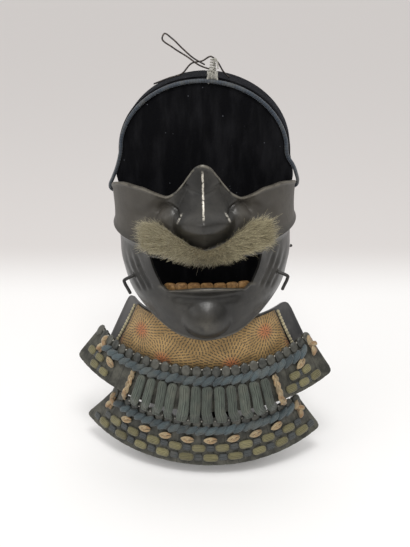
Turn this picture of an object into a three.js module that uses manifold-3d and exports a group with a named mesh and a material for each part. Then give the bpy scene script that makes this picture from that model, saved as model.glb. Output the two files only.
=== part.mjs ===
// A samurai's iron face guard with its laced throat guard, tied to a plain velvet display stand.
// Millimetres, +Z up, the face looks along -Y. The origin is the middle of the stand's underside.
import * as THREE from "three";
import { mergeVertices } from "three/addons/utils/BufferGeometryUtils.js";
import Module from "manifold-3d";

const wasm = await Module();
wasm.setup();

// ---------- driving dimensions ----------

const gap = 0.35; // left between neighbours that touch on the real object
const maskWall = 2.2;
const maskRollDeg = -1.6; // the face hangs a little askew on its cord
const guardYawDeg = -5; // the throat guard and stand are turned a little to one side
const standYawDeg = -4;

const stand = {
  halfWidth: 75.5, archBase: 282, archRise: 65, thickness: 40, edgeRadius: 7,
  waistHeight: 232, neckHalfWidth: 27, neckHeight: 118, shoulderOut: 3.2, shoulderZ: 262, shoulderHeight: 11,
  baseWidth: 114, baseFront: -62, baseBack: 50, baseHeight: 16,
};

// The face's bowl, level by level: a half ellipse from the rear edges (x = halfWidth) to the front.
const maskLevels = [
  { z: 134, halfWidth: 52.0, rearY: -27, frontY: -96 },
  { z: 155, halfWidth: 61.5, rearY: -23, frontY: -99 },
  { z: 171, halfWidth: 71.0, rearY: -20, frontY: -100 },
  { z: 186, halfWidth: 75.5, rearY: -15, frontY: -100 },
  { z: 200, halfWidth: 79.0, rearY: -10, frontY: -100.5 },
  { z: 219, halfWidth: 81.6, rearY: -5, frontY: -98 },
  { z: 232, halfWidth: 81.3, rearY: -3, frontY: -92 },
  { z: 250, halfWidth: 82.3, rearY: -1, frontY: -85 },
  { z: 292, halfWidth: 84.5, rearY: 1, frontY: -79 },
];

// The bowl's upper and lower edges: height against the angle round the face, 0 at the nose.
// The upper edge was beaten by eye, so its two sides differ a little.
const topEdge = [
  { angle: -90, z: 250 }, { angle: -70, z: 260.5 }, { angle: -50, z: 266 }, { angle: -39, z: 265.8 },
  { angle: -31, z: 263.8 }, { angle: -22.6, z: 261.3 }, { angle: -17, z: 264.5 }, { angle: -12.1, z: 271.4 },
  { angle: -7.7, z: 279.7 }, { angle: -3.5, z: 287 }, { angle: 0, z: 288.8 }, { angle: 3.5, z: 287 },
  { angle: 7.7, z: 279.7 }, { angle: 12.1, z: 271 }, { angle: 17, z: 263.2 }, { angle: 24.8, z: 258.3 },
  { angle: 31, z: 260.3 }, { angle: 39, z: 263 }, { angle: 50, z: 263 }, { angle: 70, z: 257.6 },
  { angle: 90, z: 249.5 },
];
const bottomEdge = [
  { angle: 0, z: 138 }, { angle: 25, z: 141 }, { angle: 45, z: 149 }, { angle: 60, z: 156 },
  { angle: 75, z: 163.5 }, { angle: 90, z: 176 },
];

const mouth = { share: 0.38, lean: 0.8, lowMid: 188.5, lowDrop: 6.5, highMid: 214, highDrop: 3.2 };
const mouthSides = [
  { z: 150, angle: 31 }, { z: 180, angle: 29.5 }, { z: 204, angle: 34.7 }, { z: 216, angle: 36 },
  { z: 300, angle: 36 },
];

// The nose stands out from the bowl: ridge height, half width and how round its section is.
const noseLevels = [
  { z: 222, height: 0, halfWidth: 22, roundness: 1.5 },
  { z: 226, height: 8, halfWidth: 24, roundness: 1.5 },
  { z: 231, height: 20, halfWidth: 25, roundness: 1.4 },
  { z: 237, height: 25, halfWidth: 24.5, roundness: 1.25 },
  { z: 245, height: 21, halfWidth: 21.5, roundness: 1.15 },
  { z: 256, height: 14, halfWidth: 17, roundness: 1.1 },
  { z: 263, height: 10, halfWidth: 14, roundness: 1.1 },
  { z: 268, height: 8, halfWidth: 15, roundness: 1.3 },
  { z: 292, height: 7.5, halfWidth: 24, roundness: 1.5 },
];
const noseSlant = 0.3; // how fast the nose's underside climbs away from its tip

// The hair of the moustache: its lower and upper outline and how far it stands off the lip.
const moustacheOutline = [
  { x: 0, low: 211, high: 222.5, stand: 9 }, { x: 12, low: 212, high: 226.5, stand: 10.5 },
  { x: 24, low: 213.5, high: 234, stand: 11.5 }, { x: 38, low: 214.5, high: 241.5, stand: 11 },
  { x: 49, low: 214.5, high: 239.5, stand: 8 }, { x: 56, low: 217.5, high: 232, stand: 4 },
  { x: 60, low: 221, high: 226, stand: 1.5 },
];
const moustacheShift = 1.5;

const teeth = {
  count: 7, halfAngle: 31, rootZ: 181.5, tipZ: 190.8, endDrop: 3.4, setBack: 4.6, thickness: 1.8,
};
const hook = {
  rootAngle: 56, rootZ: 186, radius: 1.45, elbowX: 71.8, elbowZ: 182.5, tipX: 66.2, tipZ: 169.5,
};

// Edges of the throat guard's curved strips: an arc in plan, with the height of its front and ends.
// A flare spreads the last of an edge sideways.
const guardEdges = {
  collarTop: { radius: 66, centreY: -17, sweep: 88, flare: 7, frontZ: 150, leftZ: 146, rightZ: 146 },
  collarBottom: { radius: 108, centreY: 28, sweep: 60, flare: 0, frontZ: 96, leftZ: 101, rightZ: 108 },
  upperTop: { radius: 115, centreY: 29, sweep: 57.5, flare: 0, frontZ: 106, leftZ: 113, rightZ: 127 },
  upperBottom: { radius: 158, centreY: 64, sweep: 49.5, flare: 0, frontZ: 66, leftZ: 83.5, rightZ: 86 },
  lowerTop: { radius: 117, centreY: 25, sweep: 49, flare: 0, frontZ: 58, leftZ: 67, rightZ: 66 },
  lowerBottom: { radius: 152, centreY: 54, sweep: 47, flare: 0, frontZ: 12, leftZ: 25.5, rightZ: 32.5 },
};
// How far each strip reaches to either side, as shares of its edges' sweeps.
const strips = {
  collar: {
    top: guardEdges.collarTop, bottom: guardEdges.collarBottom,
    left: { top: 1, bottom: 1 }, right: { top: 0.97, bottom: 0.97 },
  },
  hide: {
    top: guardEdges.collarTop, bottom: guardEdges.collarBottom,
    left: { top: 0.72, bottom: 0.84 }, right: { top: 0.7, bottom: 0.78 },
  },
  upper: {
    top: guardEdges.upperTop, bottom: guardEdges.upperBottom,
    left: { top: 1.06, bottom: 1.045 }, right: { top: 0.91, bottom: 0.96 },
  },
  lower: {
    top: guardEdges.lowerTop, bottom: guardEdges.lowerBottom,
    left: { top: 0.92, bottom: 1.055 }, right: { top: 0.94, bottom: 0.96 },
  },
};
const boardHalf = 1.2; // half the thickness of a lacquered board
const lacing = { bands: 14, topShare: 0.56, bottomShare: 0.82, width: 9.8, thickness: 3.6 };
// The rows across a board climb a little towards its right end.
const rope = {
  width: 11, thickness: 4.6,
  upper: { from: -0.84, to: 0.8, height: 0.285, rise: 0.02 },
  lower: { from: -0.8, to: 0.8, height: 0.25, rise: 0.07 },
};
const braid = { length: 17, upright: true };
const knots = { count: 8, firstU: -0.665, pitchU: 0.184, height: 0.455, rise: 0.07 };

// Silk pads sewn on in rows: rows of the lower board run right across, the upper board's sit at its ends.
const padRows = [
  { name: "lower_pads_high", on: "lower", from: -0.757, pitchU: 0.184, count: 9, v: 0.635, rise: 0.07 },
  { name: "lower_pads_low", on: "lower", from: -0.849, pitchU: 0.184, count: 10, v: 0.835, rise: 0.05 },
  { name: "upper_pads_left_high", on: "upper", from: -0.95, pitchU: 0.1, count: 2, v: 0.6, rise: 0 },
  { name: "upper_pads_left_low", on: "upper", from: -0.86, pitchU: 0.1, count: 2, v: 0.82, rise: 0 },
  { name: "upper_pads_right_high", on: "upper", from: 0.67, pitchU: 0.1, count: 2, v: 0.62, rise: 0 },
  { name: "upper_pads_right_low", on: "upper", from: 0.62, pitchU: 0.1, count: 3, v: 0.84, rise: 0 },
];
const pad = { base: 0.5, height: 2, halfV: 0.085 };

const cordRadius = 1.8;
const wireRadius = 0.7;

// ---------- materials ----------

const colours = {
  velvet: [0x0b0b0e, 0, 0.95], blackWood: [0x141312, 0, 0.35], iron: [0x3a3733, 0.7, 0.45],
  ivory: [0xa87f4e, 0.1, 0.5], hair: [0xb5a988, 0, 0.9], lacquer: [0x2b2b2c, 0, 0.35],
  printedHide: [0xa9834f, 0, 0.7], whiteSilk: [0xb9b294, 0, 0.8], board: [0x3b3a35, 0, 0.55],
  blueSilk: [0x33434b, 0, 0.8], creamSilk: [0xb39a72, 0, 0.8], tieSilk: [0x4b5a6b, 0, 0.8],
  oliveSilk: [0x6f6b45, 0, 0.8],
  wire: [0x2c2a2c, 0.8, 0.5], twine: [0x8d8a82, 0, 0.9],
};
const materials = Object.fromEntries(
  Object.entries(colours).map(([name, [color, metalness, roughness]]) => [
    name, new THREE.MeshStandardMaterial({ name, color, metalness, roughness }),
  ]),
);

// ---------- small mathematics ----------

const degrees = Math.PI / 180;
const square = (value) => value * value;
const bell = (distance, width) => Math.exp(-square(distance / width));
const step = (value) => {
  const share = Math.min(1, Math.max(0, value));
  return share * share * (3 - 2 * share);
};

// A smooth curve through a table's rows with no overshoot (monotone cubic), read at one place.
function readTable(rows, placeKey, valueKey, place) {
  const count = rows.length;
  const at = Math.min(rows[count - 1][placeKey], Math.max(rows[0][placeKey], place));
  const width = (i) => rows[i + 1][placeKey] - rows[i][placeKey];
  const slope = (i) => (rows[i + 1][valueKey] - rows[i][valueKey]) / width(i);
  const tangent = (i) => {
    if (i === 0) return slope(0);
    if (i === count - 1) return slope(count - 2);
    const before = slope(i - 1);
    const after = slope(i);
    if (before * after <= 0) return 0;
    const heavy = 2 * width(i) + width(i - 1);
    const light = width(i) + 2 * width(i - 1);
    return (heavy + light) / (heavy / before + light / after);
  };
  let i = 0;
  while (i < count - 2 && at > rows[i + 1][placeKey]) i += 1;
  const w = width(i);
  const t = (at - rows[i][placeKey]) / w;
  return (
    rows[i][valueKey] * (1 + 2 * t) * square(1 - t) + tangent(i) * w * t * square(1 - t) +
    rows[i + 1][valueKey] * t * t * (3 - 2 * t) + tangent(i + 1) * w * t * t * (t - 1)
  );
}

// Outward normal of a surface point(a, b), where a runs to the right and b runs up.
function normalOf(point, a, b, stepA, stepB) {
  const across = point(a + stepA, b).sub(point(a - stepA, b));
  const up = point(a, b + stepB).sub(point(a, b - stepB));
  return across.cross(up).normalize();
}

// ---------- building solids ----------

// A wall between two grids of points: outer(i, j) and inner(i, j), over the cells that keep(i, j) allows.
function sheetGeometry(columns, rows, outer, inner, keep = () => true) {
  const positions = [];
  const index = [];
  for (const side of [outer, inner]) {
    for (let i = 0; i <= columns; i += 1) {
      for (let j = 0; j <= rows; j += 1) positions.push(...side(i, j).toArray());
    }
  }
  const half = (columns + 1) * (rows + 1);
  const out = (i, j) => i * (rows + 1) + j;
  const kept = (i, j) => i >= 0 && j >= 0 && i < columns && j < rows && keep(i, j);
  const quad = (a, b, c, d) => index.push(a, b, c, a, c, d);
  for (let i = 0; i < columns; i += 1) {
    for (let j = 0; j < rows; j += 1) {
      if (!kept(i, j)) continue;
      const corners = [out(i, j), out(i + 1, j), out(i + 1, j + 1), out(i, j + 1)];
      quad(...corners);
      quad(...corners.map((k) => k + half).reverse());
      const neighbours = [[i, j - 1], [i + 1, j], [i, j + 1], [i - 1, j]];
      neighbours.forEach(([ni, nj], side) => {
        if (kept(ni, nj)) return;
        const from = corners[side];
        const to = corners[(side + 1) % 4];
        quad(to, from, from + half, to + half);
      });
    }
  }
  const geometry = new THREE.BufferGeometry();
  geometry.setAttribute("position", new THREE.Float32BufferAttribute(positions, 3));
  geometry.setIndex(index);
  geometry.computeVertexNormals();
  return geometry;
}

// A solid through a list of rings of points, with flat ends.
function loftGeometry(rings) {
  const sides = rings[0].length;
  const positions = rings.flat().flatMap((point) => point.toArray());
  const index = [];
  for (let ring = 0; ring < rings.length - 1; ring += 1) {
    for (let side = 0; side < sides; side += 1) {
      const a = ring * sides + side;
      const b = ring * sides + ((side + 1) % sides);
      index.push(a, b, b + sides, a, b + sides, a + sides);
    }
  }
  const last = (rings.length - 1) * sides;
  for (let side = 1; side < sides - 1; side += 1) {
    index.push(0, side + 1, side);
    index.push(last, last + side, last + side + 1);
  }
  const geometry = new THREE.BufferGeometry();
  geometry.setAttribute("position", new THREE.Float32BufferAttribute(positions, 3));
  geometry.setIndex(index);
  geometry.computeVertexNormals();
  return geometry;
}

// A round tube along a smooth curve through the points.
function tubeGeometry(points, radius, steps, sides = 8) {
  const section = new THREE.Shape();
  for (let side = 0; side < sides; side += 1) {
    const turn = (side / sides) * 2 * Math.PI;
    const draw = side === 0 ? "moveTo" : "lineTo";
    section[draw](radius * Math.cos(turn), radius * Math.sin(turn));
  }
  section.closePath();
  const extrudePath = new THREE.CatmullRomCurve3(points, false, "centripetal");
  return new THREE.ExtrudeGeometry(section, { steps, extrudePath, bevelEnabled: false });
}

function solidOf(geometry) {
  const bare = geometry.clone();
  for (const name of ["normal", "uv"]) bare.deleteAttribute(name);
  const merged = mergeVertices(bare, 1e-4);
  return new wasm.Manifold(new wasm.Mesh({
    numProp: 3,
    vertProperties: merged.attributes.position.array,
    triVerts: new Uint32Array(merged.index.array),
  }));
}

function largestOf(solid) {
  return solid.decompose().sort((a, b) => b.volume() - a.volume())[0];
}

function geometryOf(solid) {
  const mesh = solid.getMesh();
  const geometry = new THREE.BufferGeometry();
  geometry.setAttribute("position", new THREE.BufferAttribute(mesh.vertProperties, 3));
  geometry.setIndex(new THREE.BufferAttribute(mesh.triVerts, 1));
  geometry.computeVertexNormals();
  return geometry;
}

function addMesh(group, name, geometry, material) {
  const mesh = new THREE.Mesh(geometry, material);
  mesh.name = name;
  group.add(mesh);
  return mesh;
}

// A group whose contents turn by an angle about an upright or a front-to-back line through a point.
function turnedGroup(axis, angleDeg, centre) {
  const outer = new THREE.Group();
  outer.position.copy(centre);
  outer.rotation[axis] = angleDeg * degrees;
  const inner = new THREE.Group();
  inner.position.copy(centre).negate();
  outer.add(inner);
  return { outer, inner };
}

// ---------- the face ----------

function bowlPoint(angle, z) {
  const halfWidth = readTable(maskLevels, "z", "halfWidth", z);
  const rearY = readTable(maskLevels, "z", "rearY", z);
  const frontY = readTable(maskLevels, "z", "frontY", z);
  const turn = angle * degrees;
  return new THREE.Vector3(halfWidth * Math.sin(turn), rearY - (rearY - frontY) * Math.cos(turn), z);
}

function noseRelief(x, z) {
  const level = z - noseSlant * Math.abs(x);
  const height = readTable(noseLevels, "z", "height", level);
  const halfWidth = readTable(noseLevels, "z", "halfWidth", level);
  const roundness = readTable(noseLevels, "z", "roundness", level);
  const share = Math.min(1, Math.abs(x) / halfWidth);
  const inside = level > noseLevels[0].z ? height * (1 - share ** roundness) : 0;
  const wings = 2 * bell(Math.abs(x) - 15, 4.5) * bell(z - 238, 5);
  const creaseZ = 264 + 0.5 * Math.abs(x);
  const crease = -1.6 * bell(z - creaseZ, 2) * step((18 - Math.abs(x)) / 5);
  return inside + wings + crease;
}

function cheekRelief(x, z, angle) {
  const side = Math.abs(x);
  const fromRoll = Math.hypot(side - 30, z - 244);
  const roll = 3.8 * bell(fromRoll, 8.5) - 1.9 * bell(fromRoll - 10.5, 2) * step((z - 240) / 8);
  // A hollow under the eye, along a line from beside the nose out and down.
  const along = Math.min(1, Math.max(0, ((side - 35) * 17 - (z - 254) * 12) / (17 * 17 + 12 * 12)));
  const fromHollow = Math.hypot(side - 35 - 17 * along, z - 254 + 12 * along);
  const hollow = -5 * bell(fromHollow, 6);
  // The cheekbone's fold: the wall steps in below it and comes back lower down.
  const foldZ = 219 + 4 * (1 - Math.sin(Math.min(90, Math.abs(angle)) * degrees));
  const below = foldZ - z;
  const fold = (1.6 * bell(below, 3) - 3.4 * step(below / 4) * (1 - step((below - 6) / 26))) *
    step((Math.abs(angle) - 34) / 12);
  return roll + hollow + fold;
}

function jawRelief(x, z) {
  const side = Math.abs(x);
  // Wrinkles beside the mouth run down and in.
  const across = (side - 53.5) * 0.846 - (z - 192.5) * 0.533;
  const down = -(side - 53.5) * 0.533 - (z - 192.5) * 0.846;
  const stretch = step((down + 17) / 5) * step((16 - down) / 8);
  const wrinkles = -1.7 * stretch * (bell(across, 1.8) + bell(across - 6, 1.8) + 0.6 * bell(across - 12, 2));
  const lip = 2.2 * bell(z - 186, 3.2) * step((38 - side) / 8);
  const underLip = -3 * bell(z - 179, 4.5) * step((34 - side) / 10);
  const fromBoss = Math.hypot(x / 22, (z - 157) / 18);
  const boss = 9 * Math.max(0, 1 - square(fromBoss)) ** 1.3;
  const upperLip = 1.5 * bell(z - 216, 5) * step((44 - side) / 8);
  return wrinkles + lip + underLip + boss + upperLip;
}

// The face's surface, lifted along the bowl's own normal.
function facePoint(angle, z, lift = 0) {
  const point = bowlPoint(angle, z);
  const normal = normalOf(bowlPoint, angle, z, 0.5, 0.5);
  const relief = noseRelief(point.x, z) + cheekRelief(point.x, z, angle) + jawRelief(point.x, z);
  return point.addScaledVector(normal, relief + lift);
}

// Columns run from one rear edge to the other and follow the mouth's sloping sides.
function columnAngle(share, z) {
  const side = readTable(mouthSides, "z", "angle", z) + mouth.lean * Math.sign(share);
  const far = Math.abs(share);
  const angle = far <= mouth.share
    ? (far / mouth.share) * side
    : side + ((far - mouth.share) / (1 - mouth.share)) * (90 - side);
  return Math.sign(share) * angle;
}

const faceRows = { jaw: 6, mouth: 3, cheek: 10 };
const faceColumns = { side: 8, mouth: 16 };

function faceShare(i) {
  const { side, mouth: middle } = faceColumns;
  if (i < side) return -1 + (i / side) * (1 - mouth.share);
  if (i <= side + middle) return (((i - side) / middle) * 2 - 1) * mouth.share;
  return mouth.share + ((i - side - middle) / side) * (1 - mouth.share);
}

function faceHeight(share, j) {
  const toSide = Math.min(1.25, Math.abs(share) / mouth.share);
  const topAngle = columnAngle(share, 260);
  const lowAngle = Math.abs(columnAngle(share, 150));
  const bounds = [
    readTable(bottomEdge, "angle", "z", lowAngle),
    mouth.lowMid - mouth.lowDrop * square(toSide) + 5 * step((toSide - 0.8) / 0.2),
    mouth.highMid - mouth.highDrop * square(toSide) + 12 * step((toSide - 1) * 4),
    readTable(topEdge, "angle", "z", topAngle),
  ];
  const { jaw, mouth: gape, cheek } = faceRows;
  if (j <= jaw) return bounds[0] + (bounds[1] - bounds[0]) * (j / jaw);
  if (j <= jaw + gape) return bounds[1] + (bounds[2] - bounds[1]) * ((j - jaw) / gape);
  return bounds[2] + (bounds[3] - bounds[2]) * ((j - jaw - gape) / cheek);
}

function faceGeometry(swell = 0) {
  const columns = 2 * faceColumns.side + faceColumns.mouth;
  const rows = faceRows.jaw + faceRows.mouth + faceRows.cheek;
  const at = (lift) => (i, j) => {
    const share = faceShare(i);
    const z = faceHeight(share, j);
    return facePoint(columnAngle(share, z), z, lift);
  };
  const isMouth = (i, j) =>
    i >= faceColumns.side && i < faceColumns.side + faceColumns.mouth &&
    j >= faceRows.jaw && j < faceRows.jaw + faceRows.mouth;
  return sheetGeometry(columns, rows, at(swell), at(-maskWall), (i, j) => !isMouth(i, j));
}

// A row of teeth on the inside of the face, with notches between them.
function teethGeometry() {
  const { count, halfAngle, rootZ, tipZ, endDrop, setBack, thickness } = teeth;
  const perTooth = 3;
  const columns = count * perTooth;
  const at = (depth) => (i, j) => {
    const share = (i / columns) * 2 - 1;
    const notch = i % perTooth === 0 ? 0.18 : 0;
    const edge = rootZ + (tipZ - rootZ) * (1 - notch) * j - endDrop * square(share);
    return bowlPoint(halfAngle * share + mouth.lean, edge)
      .addScaledVector(normalOf(bowlPoint, halfAngle * share + mouth.lean, edge, 0.5, 0.5), -depth);
  };
  return sheetGeometry(columns, 1, at(setBack), at(setBack + thickness));
}

// The moustache is a swell of hair on the upper lip, cut clear of the plate behind it.
function moustacheGeometry() {
  const columns = 20;
  const rows = 5;
  const reach = moustacheOutline[moustacheOutline.length - 1].x;
  const hairPoint = (depth, i, j) => {
    const x = reach * ((i / columns) * 2 - 1);
    const read = (key) => readTable(moustacheOutline, "x", key, Math.abs(x));
    const z = read("low") + (read("high") - read("low")) * (j / rows);
    const halfWidth = readTable(maskLevels, "z", "halfWidth", z);
    const angle = Math.asin((x + moustacheShift) / halfWidth) / degrees;
    const crown = Math.sin(Math.PI * (0.15 + 0.7 * (j / rows)));
    return facePoint(angle, z, depth + (depth > 0 ? read("stand") * crown : 0));
  };
  const hair = sheetGeometry(columns, rows, (i, j) => hairPoint(0.8, i, j), (i, j) => hairPoint(-1, i, j));
  return geometryOf(largestOf(solidOf(hair).subtract(solidOf(faceGeometry(gap)))));
}

// A bent iron peg on the jaw: out from the cheek, then down beside it.
function hookGeometry(side) {
  const { rootAngle, rootZ, radius, elbowX, elbowZ, tipX, tipZ } = hook;
  const root = facePoint(side * rootAngle, rootZ, gap + 1);
  const elbow = new THREE.Vector3(side * elbowX, root.y - 2, elbowZ);
  const tip = new THREE.Vector3(side * tipX, root.y - 2, tipZ);
  const points = [root, root.clone().lerp(elbow, 0.75), elbow, elbow.clone().lerp(tip, 0.22), tip];
  return tubeGeometry(points, radius, 14);
}

function makeFace(group) {
  addMesh(group, "face_plate", faceGeometry(), materials.iron);
  addMesh(group, "teeth", teethGeometry(), materials.ivory);
  addMesh(group, "moustache", moustacheGeometry(), materials.hair);
  addMesh(group, "cord_hook_left", hookGeometry(-1), materials.iron);
  addMesh(group, "cord_hook_right", hookGeometry(1), materials.iron);
  const pegRoot = facePoint(84, 194, gap);
  const pegTip = facePoint(84, 194, 2.6);
  addMesh(group, "cheek_peg", tubeGeometry([pegRoot, pegTip], 1.1, 2), materials.iron);
}

// ---------- the throat guard ----------

function edgePoint(edge, u) {
  const turn = u * edge.sweep * degrees;
  const endZ = u < 0 ? edge.leftZ : edge.rightZ;
  return new THREE.Vector3(
    edge.radius * Math.sin(turn) + edge.flare * u ** 5,
    edge.centreY - edge.radius * Math.cos(turn),
    edge.frontZ + (endZ - edge.frontZ) * square(u),
  );
}

// A point on a strip: u across it (0 at the front), v from the top edge (0) to the bottom (1).
function stripPoint(strip, u, v, lift = 0) {
  const flat = (a, b) => edgePoint(strip.top, a).lerp(edgePoint(strip.bottom, a), 1 - b);
  const normal = normalOf(flat, u, 1 - v, 0.01, 0.01);
  return flat(u, 1 - v).addScaledVector(normal, lift);
}

// The u of a strip's end at a height v, on one side (-1 or 1).
function endOf(strip, side, v) {
  const { top, bottom } = side < 0 ? strip.left : strip.right;
  return side * (top + (bottom - top) * v);
}

// How far an edge draws in near its ends, so that its corner is round; share runs from -1 to 1.
function cornerTrim(share, from, depth) {
  const past = Math.max(0, (Math.abs(share) - from) / (1 - from));
  return depth * (1 - Math.sqrt(Math.max(0, 1 - square(past))));
}

function stripGeometry(strip, columns, rows, liftOut, liftIn, vTop, vBottom) {
  const at = (lift) => (i, j) => {
    const share = (i / columns) * 2 - 1;
    const v = vBottom(share, i) + (vTop(share, i) - vBottom(share, i)) * (j / rows);
    return stripPoint(strip, Math.abs(share) * endOf(strip, Math.sign(share), v), v, lift);
  };
  return sheetGeometry(columns, rows, at(liftOut), at(liftIn));
}

// A solid that follows a list of places on a strip, with an oval section lying on it.
function ribbonGeometry(places, width, thickness, sides = 6) {
  const centres = places.map(({ point }) => point);
  const rings = places.map(({ point, normal }, k) => {
    const before = centres[Math.max(0, k - 1)];
    const after = centres[Math.min(centres.length - 1, k + 1)];
    const along = after.clone().sub(before).normalize();
    const out = normal.clone().addScaledVector(along, -normal.dot(along)).normalize();
    const across = out.clone().cross(along);
    const narrow = k === 0 || k === places.length - 1 ? 0.7 : 1;
    return Array.from({ length: sides }, (_, side) => {
      const turn = ((side + 0.5) / sides) * 2 * Math.PI;
      return point.clone()
        .addScaledVector(across, (width / 2) * narrow * Math.cos(turn))
        .addScaledVector(out, (thickness / 2) * narrow * Math.sin(turn));
    });
  });
  return loftGeometry(rings);
}

function placeOn(strip, u, v, lift) {
  const point = stripPoint(strip, u, v, lift);
  const normal = point.clone().sub(stripPoint(strip, u, v, lift - 1)).normalize();
  return { point, normal };
}

function makeBoard(group, name, strip, heads) {
  const columns = heads * 2;
  const vTop = (share, i) => (i % 2 === 0 ? 0.045 : 0);
  const vBottom = (share) => 1 - cornerTrim(share, 0.955, 0.12);
  const geometry = stripGeometry(strip, columns, 2, boardHalf, -boardHalf, vTop, vBottom);
  addMesh(group, name, geometry, materials.board);
}

const rowHeight = (height, rise, u) => height - rise * Math.max(0, u);

function makeRope(group, name, strip, { from, to, height, rise }) {
  const lift = boardHalf + gap + rope.thickness / 2;
  const places = Array.from({ length: 23 }, (_, k) => {
    const u = from + (to - from) * (k / 22);
    return placeOn(strip, u, rowHeight(height, rise, u), lift);
  });
  addMesh(group, name, ribbonGeometry(places, rope.width, rope.thickness), materials.blueSilk);
}

// One band of lacing from the upper board down to the lower one.
function makeBand(group, name, share, material) {
  const lift = boardHalf + gap + lacing.thickness / 2 + 0.4;
  const upperU = share * lacing.topShare;
  const lowerU = share * lacing.bottomShare;
  const places = [
    placeOn(strips.upper, upperU, 0.44, lift), placeOn(strips.upper, upperU, 0.72, lift + 0.6),
    placeOn(strips.upper, upperU, 1, lift + 2.9), placeOn(strips.lower, lowerU, -0.04, lift + 2.4),
    placeOn(strips.lower, lowerU, rowHeight(0.065, rope.lower.rise, lowerU), lift),
  ];
  const width = lacing.width * (material === materials.creamSilk ? 0.7 : 1);
  addMesh(group, name, ribbonGeometry(places, width, lacing.thickness), material);
}

// A knot of cream silk lying along or across a board.
function makeKnot(group, name, strip, u, v, { length, width, upright = false }) {
  const lift = boardHalf + gap + 1.5;
  const halfU = upright ? 0 : length / 2 / (strip.top.radius * strip.top.sweep * degrees * 1.12);
  const halfV = upright ? length / 2 / 40 : 0;
  const places = [-1, 0, 1].map((end) => placeOn(strip, u + end * halfU, v + end * halfV, lift));
  addMesh(group, name, ribbonGeometry(places, width, 2.8), materials.creamSilk);
}

// A row of pads on the thin cloth they are sewn through.
function padRowGeometry({ on, from, pitchU, count, v, rise }) {
  const perPad = 4;
  const at = (lift, swell) => (i, j) => {
    const u = from + pitchU * (i / perPad - 0.5);
    const crown = i % perPad === 0 || j !== 1 ? 0 : swell;
    return stripPoint(strips[on], u, rowHeight(v, rise, u) + pad.halfV * (1 - j), lift + crown);
  };
  const low = boardHalf + gap + 0.15;
  return sheetGeometry(count * perPad, 2, at(low + pad.base, pad.height - pad.base), at(low, 0));
}

function makeThroatGuard(group) {
  const { collar, hide, upper, lower } = strips;
  const plateTop = (share) => cornerTrim(share, 0.88, 0.2);
  addMesh(group, "collar_plate", stripGeometry(collar, 24, 3, 1, -1, plateTop, () => 1), materials.lacquer);
  const hideLift = 1 + gap + 0.25;
  const hideSheet = stripGeometry(hide, 18, 3, hideLift + 1, hideLift, () => 0.03, () => 0.94);
  addMesh(group, "printed_hide", hideSheet, materials.printedHide);
  for (const [side, label] of [[-1, "left"], [1, "right"]]) {
    const edging = Array.from({ length: 7 }, (_, k) => {
      const v = 0.08 + 0.14 * k;
      return stripPoint(hide, endOf(hide, side, v) + side * 0.03, v, hideLift + 1.2);
    });
    addMesh(group, `hide_edging_${label}`, tubeGeometry(edging, 1.1, 10, 6), materials.whiteSilk);
  }
  makeBoard(group, "upper_board", upper, 26);
  makeBoard(group, "lower_board", lower, 22);
  makeRope(group, "upper_rope", upper, rope.upper);
  makeRope(group, "lower_rope", lower, rope.lower);
  for (let k = 0; k < lacing.bands; k += 1) {
    const atEnd = k === 0 || k === lacing.bands - 1;
    const endLabel = `cream_lacing_${k === 0 ? "left" : "right"}`;
    const label = atEnd ? endLabel : `lacing_${String(k).padStart(2, "0")}`;
    makeBand(group, label, (2 * k + 1) / lacing.bands - 1, atEnd ? materials.creamSilk : materials.blueSilk);
  }
  for (const row of padRows) addMesh(group, row.name, padRowGeometry(row), materials.oliveSilk);
  for (let k = 0; k < knots.count; k += 1) {
    const u = knots.firstU + knots.pitchU * k;
    const v = rowHeight(knots.height, knots.rise, u);
    makeKnot(group, `cream_knot_${k + 1}`, lower, u, v, { length: 10, width: 5.4 });
  }
  for (const [side, label] of [[-1, "left"], [1, "right"]]) {
    const knotV = side < 0 ? 0.51 : 0.45;
    makeKnot(group, `upper_end_braid_${label}`, upper, side * 0.89, 0.27, { ...braid, width: 7 });
    makeKnot(group, `upper_knot_${label}`, upper, side * 0.74, knotV, { length: 10, width: 5.4 });
    makeKnot(group, `lower_end_braid_${label}`, lower, side * 0.88, 0.3, { ...braid, width: 6.4 });
  }
}

// ---------- the stand, its cord and its wire ----------

// How far the form's sides swell beside the face's rear corners.
const shoulderSwell = (z) => stand.shoulderOut * bell(z - stand.shoulderZ, stand.shoulderHeight);

function standOutline() {
  const { halfWidth, archBase, archRise, waistHeight, neckHalfWidth, neckHeight, baseHeight } = stand;
  const foot = baseHeight + gap;
  const rise = (archBase - waistHeight) / 10;
  const sideHeights = Array.from({ length: 10 }, (_, k) => waistHeight + rise * k);
  const neckPull = [neckHalfWidth + 10, neckHeight + 40];
  const outline = new THREE.Shape();
  outline.moveTo(-neckHalfWidth, foot);
  outline.lineTo(neckHalfWidth, foot);
  outline.lineTo(neckHalfWidth, neckHeight);
  outline.bezierCurveTo(...neckPull, halfWidth, waistHeight - 60, halfWidth, waistHeight);
  for (const z of sideHeights.slice(1)) outline.lineTo(halfWidth + shoulderSwell(z), z);
  outline.lineTo(halfWidth, archBase);
  outline.absellipse(0, archBase, halfWidth, archRise, 0, Math.PI, false);
  for (const z of sideHeights.slice(1).reverse()) outline.lineTo(-halfWidth - shoulderSwell(z), z);
  outline.lineTo(-halfWidth, waistHeight);
  outline.bezierCurveTo(-halfWidth, waistHeight - 60, -neckPull[0], neckPull[1], -neckHalfWidth, neckHeight);
  outline.closePath();
  return outline;
}

function standGeometry() {
  const { thickness, edgeRadius } = stand;
  const geometry = new THREE.ExtrudeGeometry(standOutline(), {
    depth: thickness - 2 * edgeRadius, curveSegments: 14, bevelEnabled: true, bevelSegments: 3,
    bevelSize: edgeRadius, bevelThickness: edgeRadius, bevelOffset: -edgeRadius,
  });
  return geometry.translate(0, 0, edgeRadius - thickness / 2).rotateX(Math.PI / 2);
}

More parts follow.
